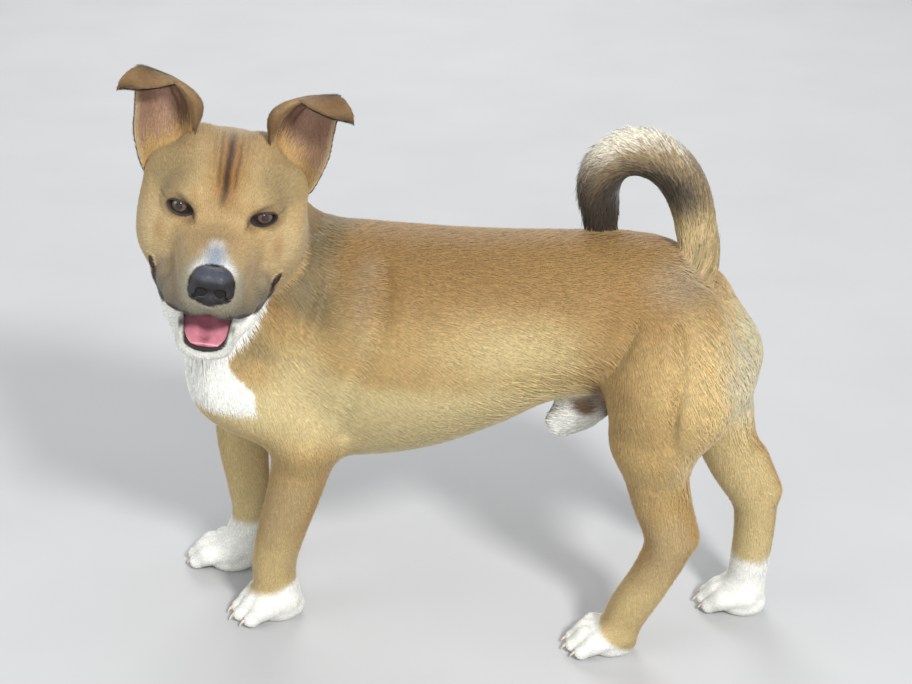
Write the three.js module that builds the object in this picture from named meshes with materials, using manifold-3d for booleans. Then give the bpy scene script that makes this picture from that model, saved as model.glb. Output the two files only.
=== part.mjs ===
// A short-coated, short-legged mixed-breed dog at life size, in millimetres.
// It stands square on the floor with its body along X and faces -X, its head is turned to its own left
// (-Y), its mouth is open and its tail curls forward over the croup. +Z is up.
//
// The whole dog is one signed distance field, built from named bones, eggs and lofted barrels that melt
// into each other. Each sub-part is that field's surface, netted on a grid of its own and cut out along
// the line where a person would say that the part ends.
import * as THREE from "three";
import Module from "manifold-3d";
import { mergeVertices } from "three/addons/utils/BufferGeometryUtils.js";

const wasm = await Module();
wasm.setup();

// ---------------------------------------------------------------- driving dimensions
const GAP = 0.3; // clear space between two sub-parts
const FLOOR = 0; // the level of the soles
const LEFT = -1; // the dog's left side is -Y
const RIGHT = 1;

const TRACK = 42; // half the distance between left and right feet
const ANKLE = 46; // the paws end at this height

const EYE_RADIUS = 11;
const EYE_AT = [-10, 29.5, 0.5]; // in the head's frame, of the left eye
const EAR_THICKNESS = 5;
const CURVE_PIECES = 4; // straight pieces between two joints of a smooth tube
const TAIL_SWELL = 1.5;
const SHANK_SWELL = 1.8;

const HEAD_AT = [-128, -108, 384]; // the point midway between the eyes
const HEAD_TURN = 104; // degrees that the head is turned to the left from the body's own direction
const HEAD_NOD = 2; // degrees that the nose is lowered
const HEAD_ROLL = -10; // degrees: the left ear is the lower one

// ---------------------------------------------------------------- fields
// A field is a function of x, y, z that gives a signed distance in millimetres, negative inside.
const melt = (a, b, k) => {
  const h = Math.max(k - Math.abs(a - b), 0) / k;
  return Math.min(a, b) - (h * h * k) / 4;
};
const union = (k, ...fields) => (x, y, z) => fields.reduce((d, f) => melt(d, f(x, y, z), k), 1e3);
const carve = (k, field, hole) => (x, y, z) => -melt(-field(x, y, z), hole(x, y, z), k);

// A tapered bone from [x, y, z, radius] to [x, y, z, radius].
function bone([ax, ay, az, ar], [bx, by, bz, br]) {
  const [dx, dy, dz] = [bx - ax, by - ay, bz - az];
  const length2 = dx * dx + dy * dy + dz * dz;
  return (x, y, z) => {
    const t = THREE.MathUtils.clamp(((x - ax) * dx + (y - ay) * dy + (z - az) * dz) / length2, 0, 1);
    return Math.hypot(x - ax - dx * t, y - ay - dy * t, z - az - dz * t) - ar - (br - ar) * t;
  };
}

// A chain of bones through the given joints.
const limb = (k, ...joints) => union(k, ...joints.slice(1).map((joint, i) => bone(joints[i], joint)));

// An egg with three radii, turned by [x, y, z] degrees.
function egg([cx, cy, cz], [rx, ry, rz], turn = [0, 0, 0]) {
  const euler = new THREE.Euler(...turn.map(THREE.MathUtils.degToRad));
  const [a, b, c] = [new THREE.Vector3(), new THREE.Vector3(), new THREE.Vector3()];
  new THREE.Matrix4().makeRotationFromEuler(euler).extractBasis(a, b, c);
  return (x, y, z) => {
    const [px, py, pz] = [x - cx, y - cy, z - cz];
    const u = (px * a.x + py * a.y + pz * a.z) / rx;
    const v = (px * b.x + py * b.y + pz * b.z) / ry;
    const w = (px * c.x + py * c.y + pz * c.z) / rz;
    const reach = Math.hypot(u, v, w);
    const slope = Math.hypot(u / rx, v / ry, w / rz);
    return slope < 1e-9 ? -Math.min(rx, ry, rz) : (reach * (reach - 1)) / slope;
  };
}

// A smooth curve through a column of stations, each station being [position, value, value, ...].
function along(stations, column, s) {
  const last = stations.length - 1;
  const t = THREE.MathUtils.clamp(s, stations[0][0], stations[last][0]);
  let i = 0;
  while (i < last - 1 && stations[i + 1][0] < t) i++;
  const slope = (j) => {
    const [a, b] = [stations[Math.max(j - 1, 0)], stations[Math.min(j + 1, last)]];
    return (b[column] - a[column]) / (b[0] - a[0]);
  };
  const [from, to] = [stations[i], stations[i + 1]];
  const span = to[0] - from[0];
  const u = (t - from[0]) / span;
  const [u2, u3] = [u * u, u * u * u];
  return (
    (2 * u3 - 3 * u2 + 1) * from[column] +
    (u3 - 2 * u2 + u) * span * slope(i) +
    (3 * u2 - 2 * u3) * to[column] +
    (u3 - u2) * span * slope(i + 1)
  );
}

// A smooth tapered tube through joints [x, y, z, radius], each radius made larger by a swell.
function curve(swell, ...joints) {
  const stations = joints.map((joint, i) => [i, ...joint]);
  const count = (joints.length - 1) * CURVE_PIECES;
  const rows = Array.from({ length: count + 1 }, (_, i) => {
    const [x, y, z, r] = [1, 2, 3, 4].map((column) => along(stations, column, i / CURVE_PIECES));
    return [x, y, z, r + swell];
  });
  const bones = rows.slice(1).map((row, i) => bone(rows[i], row));
  return (x, y, z) => {
    let nearest = Infinity;
    for (const field of bones) nearest = Math.min(nearest, field(x, y, z));
    return nearest;
  };
}

// A barrel along x through stations [x, top, bottom, half width]. A squareness of 2 gives round sections.
function barrel(stations, squareness) {
  const [first, last] = [stations[0][0], stations[stations.length - 1][0]];
  return (x, y, z) => {
    const [top, bottom, half] = [1, 2, 3].map((column) => along(stations, column, x));
    const height = (top - bottom) / 2;
    const reach = Math.abs(y / half) ** squareness + Math.abs((z - bottom - height) / height) ** squareness;
    const inside = (reach ** (1 / squareness) - 1) * Math.min(half, height);
    const beyond = Math.max(first - x, x - last);
    return beyond > 0 ? Math.hypot(Math.max(inside, 0), beyond) : Math.max(inside, beyond);
  };
}

// A field that is described in the frame of a matrix.
function placed(matrix, field) {
  const m = matrix.clone().invert().elements;
  return (x, y, z) =>
    field(
      m[0] * x + m[4] * y + m[8] * z + m[12],
      m[1] * x + m[5] * y + m[9] * z + m[13],
      m[2] * x + m[6] * y + m[10] * z + m[14],
    );
}

// ---------------------------------------------------------------- anatomy: trunk, neck and tail
const trunk = barrel(
  [
    [-186, 236, 206, 12],
    [-172, 268, 186, 36],
    [-148, 300, 162, 56],
    [-115, 326, 148, 69],
    [-75, 338, 144, 78],
    [-30, 338, 150, 81],
    [15, 338, 163, 78],
    [60, 340, 184, 70],
    [100, 343, 207, 62],
    [140, 344, 218, 62],
    [178, 343, 216, 60],
    [202, 329, 216, 48],
    [220, 286, 222, 37],
    [235, 258, 236, 15],
  ],
  2.15,
);
const sheath = limb(12, [150, 2, 214, 15], [122, 0, 196, 15], [108, -1, 184, 13]);

const neck = limb(
  34,
  [-98, 0, 250, 64],
  [-126, -14, 292, 52],
  [-140, -30, 342, 44],
  [-146, -46, 378, 42],
);
const throat = limb(30, [-156, -18, 226, 34], [-148, -42, 268, 31], [-140, -64, 312, 29]);

const tailBase = limb(12, [204, 0, 298, 20], [206, 2, 326, 15.5], [206, 4, 346, 14.5]);
const tailRing = curve(
  TAIL_SWELL,
  [206, 2, 326, 15.5],
  [204, 6, 354, 15],
  [197, 9, 380, 16],
  [182, 12, 399, 17],
  [161, 14, 407, 17.5],
  [141, 16, 400, 17],
  [130, 19, 380, 16],
  [131, 24, 350, 13],
);

// ---------------------------------------------------------------- anatomy: legs
// A foot stands on the floor at [x, y]. Its heading is in degrees, from -X towards the outside of its side.
function foot(side, [x, y], heading, size) {
  const turn = THREE.MathUtils.degToRad(180 - side * heading);
  const place = new THREE.Matrix4().makeRotationZ(turn).setPosition(x, y, FLOOR);
  const toes = [-1.5, -0.5, 0.5, 1.5].map((n) => {
    const forward = Math.abs(n) > 1 ? 0 : 7;
    return limb(
      6,
      [-12 * size, n * 7 * size, 17 * size, 9 * size],
      [(8 + forward) * size, n * 10.5 * size, 15 * size, 8.2 * size],
      [(19 + forward) * size, n * 11.5 * size, 7 * size, 7 * size],
    );
  });
  const pad = egg([-6 * size, 0, 8 * size], [22 * size, 19 * size, 13 * size]);
  return placed(place, union(4, pad, ...toes));
}

// Each leg is a chain of joints for the shoulder or haunch, and one for the limb under it.
const FORE_LEFT = {
  side: LEFT,
  heading: 24,
  foot: [-127, -TRACK],
  root: [[-96, -40, 292, 34], [-137, -50, 226, 37], [-89, -56, 184, 28]],
  shank: [
    [-88, -52, 174, 25],
    [-99, -49, 130, 21],
    [-114, -46, 84, 18.5],
    [-122, -44, 52, 17],
    [-122, -43, 26, 17],
  ],
};
const FORE_RIGHT = {
  side: RIGHT,
  heading: 8,
  foot: [-189, TRACK - 14],
  root: [[-100, 40, 292, 34], [-150, 48, 228, 39], [-158, 52, 184, 29]],
  shank: [
    [-161, 45, 172, 26],
    [-171, 40, 128, 21.5],
    [-167, 35, 84, 17.5],
    [-164, 31, 52, 15.5],
    [-172, 29, 26, 16],
  ],
};
const HIND_LEFT = {
  side: LEFT,
  heading: 10,
  foot: [152, -TRACK + 2],
  root: [[194, -32, 278, 45], [197, -43, 238, 42], [185, -50, 202, 30]],
  shank: [
    [186, -50, 196, 28],
    [192, -48, 150, 21],
    [201, -46, 112, 18],
    [190, -44, 78, 16],
    [173, -42, 44, 16],
    [166, -41, 26, 15],
  ],
  hock: [[199, -47, 150, 12], [214, -46, 116, 9]],
};
const HIND_RIGHT = {
  side: RIGHT,
  heading: 8,
  foot: [253, TRACK],
  root: [[194, 32, 274, 44], [212, 43, 228, 41], [222, 47, 186, 28]],
  shank: [
    [229, 47, 178, 26],
    [246, 46, 136, 20.5],
    [263, 46, 104, 17],
    [265, 45, 74, 15.5],
    [263, 44, 44, 15],
    [261, 43, 26, 15],
  ],
  hock: [[262, 47, 140, 11], [276, 46, 114, 9]],
};
const buttocks = [LEFT, RIGHT].map((side) => bone([198, side * 28, 262, 33], [234, side * 24, 247, 24]));

function leg(spec, size) {
  const heel = spec.hock ? [limb(10, ...spec.hock)] : [];
  const sole = foot(spec.side, spec.foot, spec.heading, size);
  return union(14, limb(34, ...spec.root), curve(SHANK_SWELL, ...spec.shank), ...heel, sole);
}

// ---------------------------------------------------------------- anatomy: head
// The head's own frame has x towards the nose, y to the dog's left and z up. Its origin is midway between
// the eyes.
const headFrame = new THREE.Matrix4()
  .makeTranslation(...HEAD_AT)
  .multiply(new THREE.Matrix4().makeRotationZ(THREE.MathUtils.degToRad(180 + HEAD_TURN)))
  .multiply(new THREE.Matrix4().makeRotationY(THREE.MathUtils.degToRad(HEAD_NOD)))
  .multiply(new THREE.Matrix4().makeRotationX(THREE.MathUtils.degToRad(HEAD_ROLL)));

const bothSides = (make) => [make(1), make(-1)]; // in the head's frame, left and then right

const skull = union(
  14,
  egg([-50, 0, -2], [50, 45, 39]),
  ...bothSides((s) => egg([-44, s * 30, -3], [33, 30, 32])),
  egg([-18, 0, 6], [26, 35, 20]),
  ...bothSides((s) => egg([-34, s * 37, -28], [34, 25.5, 35])),
  ...bothSides((s) => egg([-7, s * 23, 8], [14, 14, 10], [0, 0, s * -12])),
);
const muzzle = barrel(
  [
    [-26, 4, -50, 36],
    [-4, 0, -54, 33],
    [20, -4, -56, 29],
    [44, -8, -53, 26],
    [62, -10, -49, 23.5],
    [71, -14, -45, 19],
    [77, -20, -40, 10],
  ],
  2.4,
);
const flews = bothSides((s) =>
  limb(8, [-8, s * 34, -45, 9], [18, s * 29, -49, 10], [42, s * 21, -49, 10.5], [60, s * 11, -44, 11]),
);
const socket = bothSides((s) => egg([5, s * 31, 0.5], [10, 12, 7.5], [s * 27, 0, 0]));
const nosePad = egg([71, 0, -24.5], [12, 15.5, 14], [0, -8, 0]);
const jaw = union(
  8,
  ...bothSides((s) =>
    limb(6, [-44, s * 36, -42, 15], [-10, s * 34, -57, 11], [24, s * 24, -69, 9.5], [48, s * 12, -80, 8.5]),
  ),
  egg([48, 0, -84], [13.5, 18.5, 7.5], [0, 15, 0]),
  limb(8, [-44, 0, -54, 24], [10, 0, -76, 11], [38, 0, -84, 6]),
);
const mouth = barrel(
  [
    [-22, -46, -58, 12],
    [0, -45, -66, 20],
    [20, -48.5, -72, 19],
    [42, -52, -78.5, 17.5],
    [56, -54, -80, 20],
    [68, -55, -81, 30],
    [95, -54, -84, 34],
  ],
  3,
);
const tongue = barrel(
  [
    [-14, -54, -61, 11],
    [0, -56, -68, 15],
    [22, -63, -75, 17],
    [38, -68.5, -80, 17.5],
    [51, -73, -82, 15.5],
    [60, -77.5, -83, 9],
  ],
  2.6,
);

const upperHead = carve(5, union(8, union(16, skull, muzzle), ...flews), union(1, ...socket));
const gullet = limb(20, [-46, 0, -30, 40], [-66, 0, -10, 44]);
const headShape = carve(3, union(9, upperHead, union(12, jaw, gullet)), mouth);

// An ear is a sheet through rows: its medial edge, its lateral edge, how deep it is cupped between them
// and how far its medial edge is rolled forward. The last rows fold down over the front.
const EAR = [
  [-52, 29, 26, -48, 57, -3, 14, 0],
  [-49, 26.5, 41, -46, 65, 13, 19, 0.3],
  [-48, 25, 54, -45, 71, 34, 20, 0.8],
  [-47, 27, 64, -44, 72, 51, 17, 1],
  [-46, 34, 72, -43, 73, 71, 11, 1],
  [-42, 43, 77, -41, 72, 84, 5, 0.5],
  [-34, 51, 77, -34, 76, 86, 2, 0],
  [-25, 63, 76, -26, 82, 81, 1, 0],
  [-19, 76, 76, -19, 84, 76, 0.5, 0],
];
const EAR_ACROSS = [-1, -0.92, -0.76, -0.44, -0.05, 0.34, 0.72, 1];
const EAR_ROLL = [[-0.66, -1], [-0.88, -5], [-1, -2]]; // where the first columns lie when fully rolled
const EAR_ROWS = 10;

// ---------------------------------------------------------------- the whole dog
const bodyShape = union(
  18,
  union(26, trunk, neck, throat),
  placed(headFrame, headShape),
  sheath,
  ...[FORE_LEFT, FORE_RIGHT].map((spec) => leg(spec, 1)),
  ...[HIND_LEFT, HIND_RIGHT].map((spec) => leg(spec, 0.94)),
  ...buttocks,
  tailBase,
);
const dogShape = union(5, bodyShape, tailRing);

// ---------------------------------------------------------------- solids
function solid(geometry, matrix = new THREE.Matrix4()) {
  const plain = geometry.clone().applyMatrix4(matrix);
  plain.deleteAttribute("normal");
  plain.deleteAttribute("uv");
  const merged = mergeVertices(plain, 1e-3);
  return new wasm.Manifold(
    new wasm.Mesh({
      numProp: 3,
      vertProperties: merged.attributes.position.array,
      triVerts: new Uint32Array(merged.index.array),
    }),
  );
}

function box(low, high, matrix) {
  const size = high.map((h, a) => h - low[a]);
  const centre = high.map((h, a) => (h + low[a]) / 2);
  return solid(new THREE.BoxGeometry(...size).translate(...centre), matrix);
}

// The corners of a grid cell, its edges as pairs of corners, and its faces as rings of four corners.
const CORNERS = [0, 1, 2, 3, 4, 5, 6, 7].map((c) => [c & 1, (c >> 1) & 1, (c >> 2) & 1]);
const BITS = [1, 2, 4];
const EDGES = CORNERS.flatMap((_, m) => BITS.filter((bit) => !(m & bit)).map((bit) => [m, m | bit]));
const edgeOf = (m, n) => EDGES.findIndex(([p, q]) => p === Math.min(m, n) && q === Math.max(m, n));
const FACES = BITS.flatMap((bit) => {
  const [p, q] = BITS.filter((other) => other !== bit);
  return [0, bit].map((start) => [start, start | p, start | p | q, start | q]);
});
const FACE_EDGES = FACES.map((face) => face.map((c, i) => edgeOf(c, face[(i + 1) % 4])));

// Labels the crossed edges of a cell by the sheet of the surface that crosses them; -1 is not crossed.
function sheets(values) {
  const label = EDGES.map(([m, n], e) => (values[m] < 0 !== values[n] < 0 ? e : -1));
  const join = (a, b) => {
    const [from, to] = [label[a], label[b]];
    label.forEach((l, e) => l === from && (label[e] = to));
  };
  FACES.forEach((face, f) => {
    const crossed = FACE_EDGES[f].filter((e) => label[e] >= 0);
    if (crossed.length === 2) join(...crossed);
    if (crossed.length === 4)
      face.forEach((c, i) => values[c] < 0 && join(FACE_EDGES[f][i], FACE_EDGES[f][(i + 3) % 4]));
  });
  return label;
}

// The surface of a field inside a box, as a net with one vertex for each sheet of it in each grid cell.
// Each vertex is then drawn onto the surface itself. The same net can be grown by a swell, to cut a
// neighbour with.
function net(field, low, high, step, matrix = new THREE.Matrix4(), swell = 0) {
  const count = low.map((l, a) => Math.ceil((high[a] - l) / step[a]) + 1);
  const index = (p) => (p[2] * count[1] + p[1]) * count[0] + p[0];
  const at = (p) => low.map((l, a) => l + p[a] * step[a]);
  const offset = (p, c) => p.map((v, a) => v + c[a]);
  const grid = [];
  for (let k = 0; k < count[2]; k++)
    for (let j = 0; j < count[1]; j++) for (let i = 0; i < count[0]; i++) grid.push([i, j, k]);
  const onRim = (p) => p.some((v, a) => v === 0 || v === count[a] - 1);
  const values = grid.map((p) => Math.max(field(...at(p)), onRim(p) ? 0.5 : -Infinity));

  const points = [];
  const vertexOf = new Map();
  for (const p of grid) {
    if (p.some((v, a) => v === count[a] - 1)) continue;
    const v = CORNERS.map((c) => values[index(offset(p, c))]);
    if (v.every((d) => d < 0) || v.every((d) => d >= 0)) continue;
    const label = sheets(v);
    for (const sheet of new Set(label.filter((l) => l >= 0))) {
      const crossed = EDGES.flatMap(([m, n], e) => {
        if (label[e] !== sheet) return [];
        vertexOf.set(index(p) * EDGES.length + e, points.length);
        const t = v[m] / (v[m] - v[n]);
        return [CORNERS[m].map((c, a) => c + (CORNERS[n][a] - c) * t)];
      });
      const mean = low.map((_, a) => crossed.reduce((sum, c) => sum + c[a], 0) / crossed.length);
      points.push(onto(field, at(offset(p, mean)), Math.min(...step) / 2));
    }
  }

  const triangles = [];
  const across = (m, n) => Math.hypot(...points[m].map((v, a) => v - points[n][a]));
  for (const p of grid)
    for (let a = 0; a < 3; a++) {
      const next = p.map((v, e) => v + (e === a ? 1 : 0));
      if (next[a] === count[a] || values[index(p)] < 0 === values[index(next)] < 0) continue;
      const [b, c] = [(a + 1) % 3, (a + 2) % 3];
      const ring = [[1, 1], [0, 1], [0, 0], [1, 0]].map(([back, under]) => {
        const cell = p.map((v, e) => v - (e === b ? back : 0) - (e === c ? under : 0));
        const corner = (back << b) | (under << c);
        return vertexOf.get(index(cell) * EDGES.length + edgeOf(corner, corner | (1 << a)));
      });
      if (values[index(p)] >= 0) ring.reverse();
      const [q, r, s, t] = ring;
      triangles.push(...(across(q, s) < across(r, t) ? [q, r, s, q, s, t] : [q, r, t, r, s, t]));
    }
  const geometry = new THREE.BufferGeometry();
  geometry.setAttribute("position", new THREE.Float32BufferAttribute(points.flat(), 3));
  geometry.setIndex(triangles);
  geometry.computeVertexNormals();
  const { position, normal } = geometry.attributes;
  position.array.forEach((v, i) => (position.array[i] = v + normal.array[i] * swell));
  return solid(geometry, matrix);
}

// The sheet of an ear, as a closed solid of the given thickness. Side is 1 for the left ear.
function ear(side, thickness, root) {
  const stations = EAR.map((row, i) => [i, ...row]);
  const middle = Array.from({ length: EAR_ROWS }, (_, i) => {
    const s = (i / (EAR_ROWS - 1)) * (EAR.length - 1);
    const value = (column) => along(stations, column, s);
    const medial = new THREE.Vector3(value(1), value(2) * side, value(3));
    const lateral = new THREE.Vector3(value(4), value(5) * side, value(6));
    const [depth, roll] = [value(7), value(8)];
    return EAR_ACROSS.map((plain, j) => {
      const [rolled, forward] = EAR_ROLL[j] ?? [plain, 0];
      const across = THREE.MathUtils.lerp(plain, rolled, roll);
      const cup = depth * (1 - Math.abs(plain) ** 2.5);
      const back = j < EAR_ROLL.length ? THREE.MathUtils.lerp(cup, forward, roll) : cup;
      return medial.clone().lerp(lateral, (across + 1) / 2).add(new THREE.Vector3(-back, 0, 0));
    });
  });
  middle[0].forEach((p) => p.setZ(p.z - root));

  const [rows, columns] = [EAR_ROWS, EAR_ACROSS.length];
  const normal = (i, j) => {
    const up = middle[Math.min(i + 1, rows - 1)][j].clone().sub(middle[Math.max(i - 1, 0)][j]);
    const across = middle[i][Math.min(j + 1, columns - 1)].clone().sub(middle[i][Math.max(j - 1, 0)]);
    return across.cross(up).multiplyScalar(side).normalize();
  };
  const points = [1, -1].flatMap((face) =>
    middle.flatMap((row, i) =>
      row.map((p, j) => {
        const rim = i === rows - 1 || j === 0 || j === columns - 1 ? 0.6 : 1;
        return p.clone().addScaledVector(normal(i, j), (face * thickness * rim) / 2);
      }),
    ),
  );
  const id = (face, i, j) => face * rows * columns + i * columns + j;
  const triangles = [];
  const quad = (a, b, c, d) => triangles.push(...(side > 0 ? [a, b, c, a, c, d] : [a, c, b, a, d, c]));
  for (let i = 0; i < rows - 1; i++)
    for (let j = 0; j < columns - 1; j++) {
      quad(id(0, i, j), id(0, i, j + 1), id(0, i + 1, j + 1), id(0, i + 1, j));
      quad(id(1, i, j), id(1, i + 1, j), id(1, i + 1, j + 1), id(1, i, j + 1));
    }
  for (let i = 0; i < rows - 1; i++) {
    quad(id(0, i, 0), id(0, i + 1, 0), id(1, i + 1, 0), id(1, i, 0));
    quad(id(0, i, columns - 1), id(1, i, columns - 1), id(1, i + 1, columns - 1), id(0, i + 1, columns - 1));
  }
  for (let j = 0; j < columns - 1; j++) {
    quad(id(0, 0, j), id(1, 0, j), id(1, 0, j + 1), id(0, 0, j + 1));
    quad(id(0, rows - 1, j), id(0, rows - 1, j + 1), id(1, rows - 1, j + 1), id(1, rows - 1, j));
  }
  const geometry = new THREE.BufferGeometry();
  geometry.setAttribute("position", new THREE.Float32BufferAttribute(points.flatMap((p) => p.toArray()), 3));
  geometry.setIndex(triangles);
  return solid(geometry, headFrame);
}

// Moves a point onto the surface of a field, by at most the given distance.
function onto(field, point, most) {
  const h = 0.5;
  let p = point;
  for (let turn = 0; turn < 2; turn++) {
    const [x, y, z] = p;
    const d = field(x, y, z);
    const g = [
      (field(x + h, y, z) - field(x - h, y, z)) / (2 * h),
      (field(x, y + h, z) - field(x, y - h, z)) / (2 * h),
      (field(x, y, z + h) - field(x, y, z - h)) / (2 * h),
    ];
    const g2 = Math.max(g[0] * g[0] + g[1] * g[1] + g[2] * g[2], 0.05);
    const move = THREE.MathUtils.clamp(d / g2, -most, most);
    p = p.map((c, a) => c - move * g[a]);
  }
  return p;
}

// The largest piece of a solid, which drops crumbs that a cut has left.
const largest = (s) => s.decompose().sort((a, b) => b.volume() - a.volume())[0];

// ---------------------------------------------------------------- where the parts end
const FAR = 600;
const HALF = [[-FAR, -FAR, -FAR], [FAR, FAR, 0]]; // all that lies under a plane
const at = (x, y, z) => new THREE.Matrix4().makeTranslation(x, y, z);
const spun = (axis, degrees) => new THREE.Matrix4()[`makeRotation${axis}`](THREE.MathUtils.degToRad(degrees));
const chain = (...matrices) => matrices.reduce((m, next) => m.multiply(next), new THREE.Matrix4());

// A region to keep a part in, and the same region grown by the gap, to cut from the part's neighbours.
const region = ([low, high], matrix) => ({
  keep: box(low, high, matrix),
  cut: box(low.map((v) => v - GAP), high.map((v) => v + GAP), matrix),
});
const meet = (a, b) => ({ keep: a.keep.intersect(b.keep), cut: a.cut.intersect(b.cut) });
const join = (a, b) => ({ keep: a.keep.add(b.keep), cut: a.cut.add(b.cut) });
const within = (shape, ...regions) => regions.reduce((s, r) => s.intersect(r.keep), shape);
const without = (shape, ...regions) => regions.reduce((s, r) => s.subtract(r.cut), shape);

const headRegion = [
  region([[0, -FAR, -FAR], [FAR, FAR, FAR]], chain(headFrame, at(-66, 0, 0), spun("Y", -20))),
  ...bothSides((s) => region(HALF, chain(headFrame, at(0, s * 64, -30), spun("X", s * -114)))),
  region([[-FAR, -FAR, -98], [FAR, FAR, FAR]], headFrame),
].reduce(meet);
const jawRegion = region([[-38, -70, -60], [90, 70, 0]], chain(headFrame, at(-8, 0, -51), spun("Y", 16)));
const neckRegion = region(HALF, chain(at(-134, 0, 290), spun("Y", 136)));
const sheathRegion = region([[-36, -26, -60], [36, 26, 0]], chain(at(120, 0, 203), spun("Y", -23)));

// The tail leaves the trunk along the slope of the croup, and its tip lies on the loin.
// It is parted by planes through a point inside its ring.
const tailRegion = join(
  region([[-100, -40, 0], [90, 70, 200]], chain(at(205, 0, 334), spun("Y", 34))),
  region([[90, -40, 346], [180, 70, 460]], at(0, 0, 0)),
);
const past = (degrees) => {
  const plane = chain(at(166, 0, 338), spun("Y", -degrees));
  return region([[-FAR, -FAR, 0], [FAR, FAR, FAR]], plane);
};
const tailCuts = [past(16), past(76), past(128)];

// A leg is what lies beyond a distance from the middle plane, between two values of x, and under a plane
// that rises towards the dog's outside.
const legRegion = (side, inner, [front, back], [x, z], tilt) =>
  meet(
    region([[front, side < 0 ? -FAR : inner, -FAR], [back, side < 0 ? -inner : FAR, FAR]], at(0, 0, 0)),
    region(HALF, chain(at(x, side * inner, z), spun("X", side * tilt))),
  );

// ---------------------------------------------------------------- netted sub-parts
const parts = {};
const inHead = (field) => placed(headFrame.clone().invert(), field);
const ball = (centre, radius, rings) =>
  solid(new THREE.SphereGeometry(radius, 2 * rings, rings).translate(...centre), headFrame);
const eyes = bothSides((s) => [EYE_AT[0], s * EYE_AT[1], EYE_AT[2]]);

const headNet = (swell) =>
  net(inHead(bodyShape), [-104, -76, -104], [88, 76, 62], [10.5, 9.5, 10], headFrame, swell);
const noseNet = (swell) => net(nosePad, [54, -24, -42], [92, 24, -2], [8, 8, 8], headFrame, swell);
const flesh = within(headNet(0), headRegion);
parts.head = without(flesh, jawRegion).subtract(noseNet(GAP));
eyes.forEach((centre) => (parts.head = parts.head.subtract(ball(centre, EYE_RADIUS + GAP, 6))));
bothSides((s) => (parts.head = parts.head.subtract(ear(s, EAR_THICKNESS + 2 * GAP, GAP))));
[parts.ear_left, parts.ear_right] = bothSides((s) => ear(s, EAR_THICKNESS, 0));
parts.lower_jaw = within(flesh, jawRegion);
const tongueNet = net(tongue, [-26, -26, -94], [70, 26, -46], [11, 9, 7], headFrame);
parts.tongue = tongueNet.subtract(headNet(GAP)).subtract(parts.lower_jaw);
parts.nose = noseNet(0);
eyes.forEach((centre, i) => (parts[i ? "eye_right" : "eye_left"] = ball(centre, EYE_RADIUS, 6)));

const legs = {
  fore_leg_left: [LEFT, legRegion(LEFT, 16, [-200, -52], [-112, 148], 42)],
  fore_leg_right: [RIGHT, legRegion(RIGHT, 8, [-250, -110], [-170, 145], 42)],
  hind_leg_left: [LEFT, legRegion(LEFT, 12, [100, 300], [200, 196], 45)],
  hind_leg_right: [RIGHT, legRegion(RIGHT, 12, [120, 330], [220, 190], 45)],
};
const legRegions = Object.values(legs).map(([, r]) => r);

const torsoNet = net(bodyShape, [-230, -120, 120], [290, 120, 380], [31, 24, 24]);
parts.trunk = without(torsoNet, ...legRegions, headRegion, neckRegion, sheathRegion, tailRegion);
const neckNet = net(bodyShape, [-230, -130, 170], [-40, 90, 450], [21, 21, 21]);
parts.neck = without(within(neckNet, neckRegion), headRegion, ...legRegions);
parts.sheath = within(net(bodyShape, [70, -40, 150], [170, 40, 230], [11, 10, 10]), sheathRegion);

const aboveAnkle = region([[-FAR, -FAR, ANKLE], [FAR, FAR, FAR]], new THREE.Matrix4());
const aboveFloor = region([[-FAR, -FAR, FLOOR], [FAR, FAR, FAR]], new THREE.Matrix4());
for (const [name, [side, end]] of Object.entries(legs)) {
  const fore = name.startsWith("fore");
  const [front, back] = fore ? [-240, -40] : [90, 310];
  const [right, left] = side === LEFT ? [-120, 8] : [-8, 120];
  const upper = net(bodyShape, [front, right, 20], [back, left, 320], [15, 14, 20]);
  const lower = net(bodyShape, [front, right, -20], [back, left, 80], [10.5, 10.5, 10.5]);
  parts[name] = without(within(upper, end, aboveAnkle), sheathRegion);
  parts[name.replace("leg", "paw")] = without(within(lower, aboveFloor), aboveAnkle);
}

const tailNet = within(net(dogShape, [90, -40, 290], [260, 70, 440], [12, 12, 12]), tailRegion);
["tail_base", "tail_rise", "tail_arch", "tail_tip"].forEach((name, i) => {
  const reached = i ? within(tailNet, tailCuts[i - 1]) : tailNet;
  parts[name] = i < tailCuts.length ? without(reached, tailCuts[i]) : reached;
});

// ---------------------------------------------------------------- the model
const coat = (color) => ({ color, roughness: 0.75, metalness: 0 });
const TAN = coat(0xb98a52);
const finishes = {
  ear_left: coat(0x8a6238),
  ear_right: coat(0x8a6238),
  sheath: coat(0xd8d0c2),
  fore_paw_left: coat(0xd9c9ae),
  fore_paw_right: coat(0xe4ddd2),
  hind_paw_left: coat(0xd9c9ae),
  hind_paw_right: coat(0xe4ddd2),
  tail_rise: coat(0x9a8f7c),
  tail_arch: coat(0x9a8f7c),
  tail_tip: coat(0x4a4038),
  nose: { color: 0x26272c, roughness: 0.4, metalness: 0 },
  tongue: { color: 0xc8616e, roughness: 0.35, metalness: 0 },
  eye_left: { color: 0x3a2416, roughness: 0.1, metalness: 0 },
  eye_right: { color: 0x3a2416, roughness: 0.1, metalness: 0 },
};

function meshOf(name, manifold) {
  const { vertProperties, triVerts } = manifold.getMesh();
  const geometry = new THREE.BufferGeometry();
  geometry.setAttribute("position", new THREE.BufferAttribute(new Float32Array(vertProperties), 3));
  geometry.setIndex(new THREE.BufferAttribute(new Uint32Array(triVerts), 1));
  geometry.computeVertexNormals();
  const mesh = new THREE.Mesh(geometry, new THREE.MeshStandardMaterial(finishes[name] ?? TAN));
  mesh.name = name;
  return mesh;
}

const dog = new THREE.Group();
for (const [name, manifold] of Object.entries(parts)) dog.add(meshOf(name, largest(manifold)));

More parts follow.
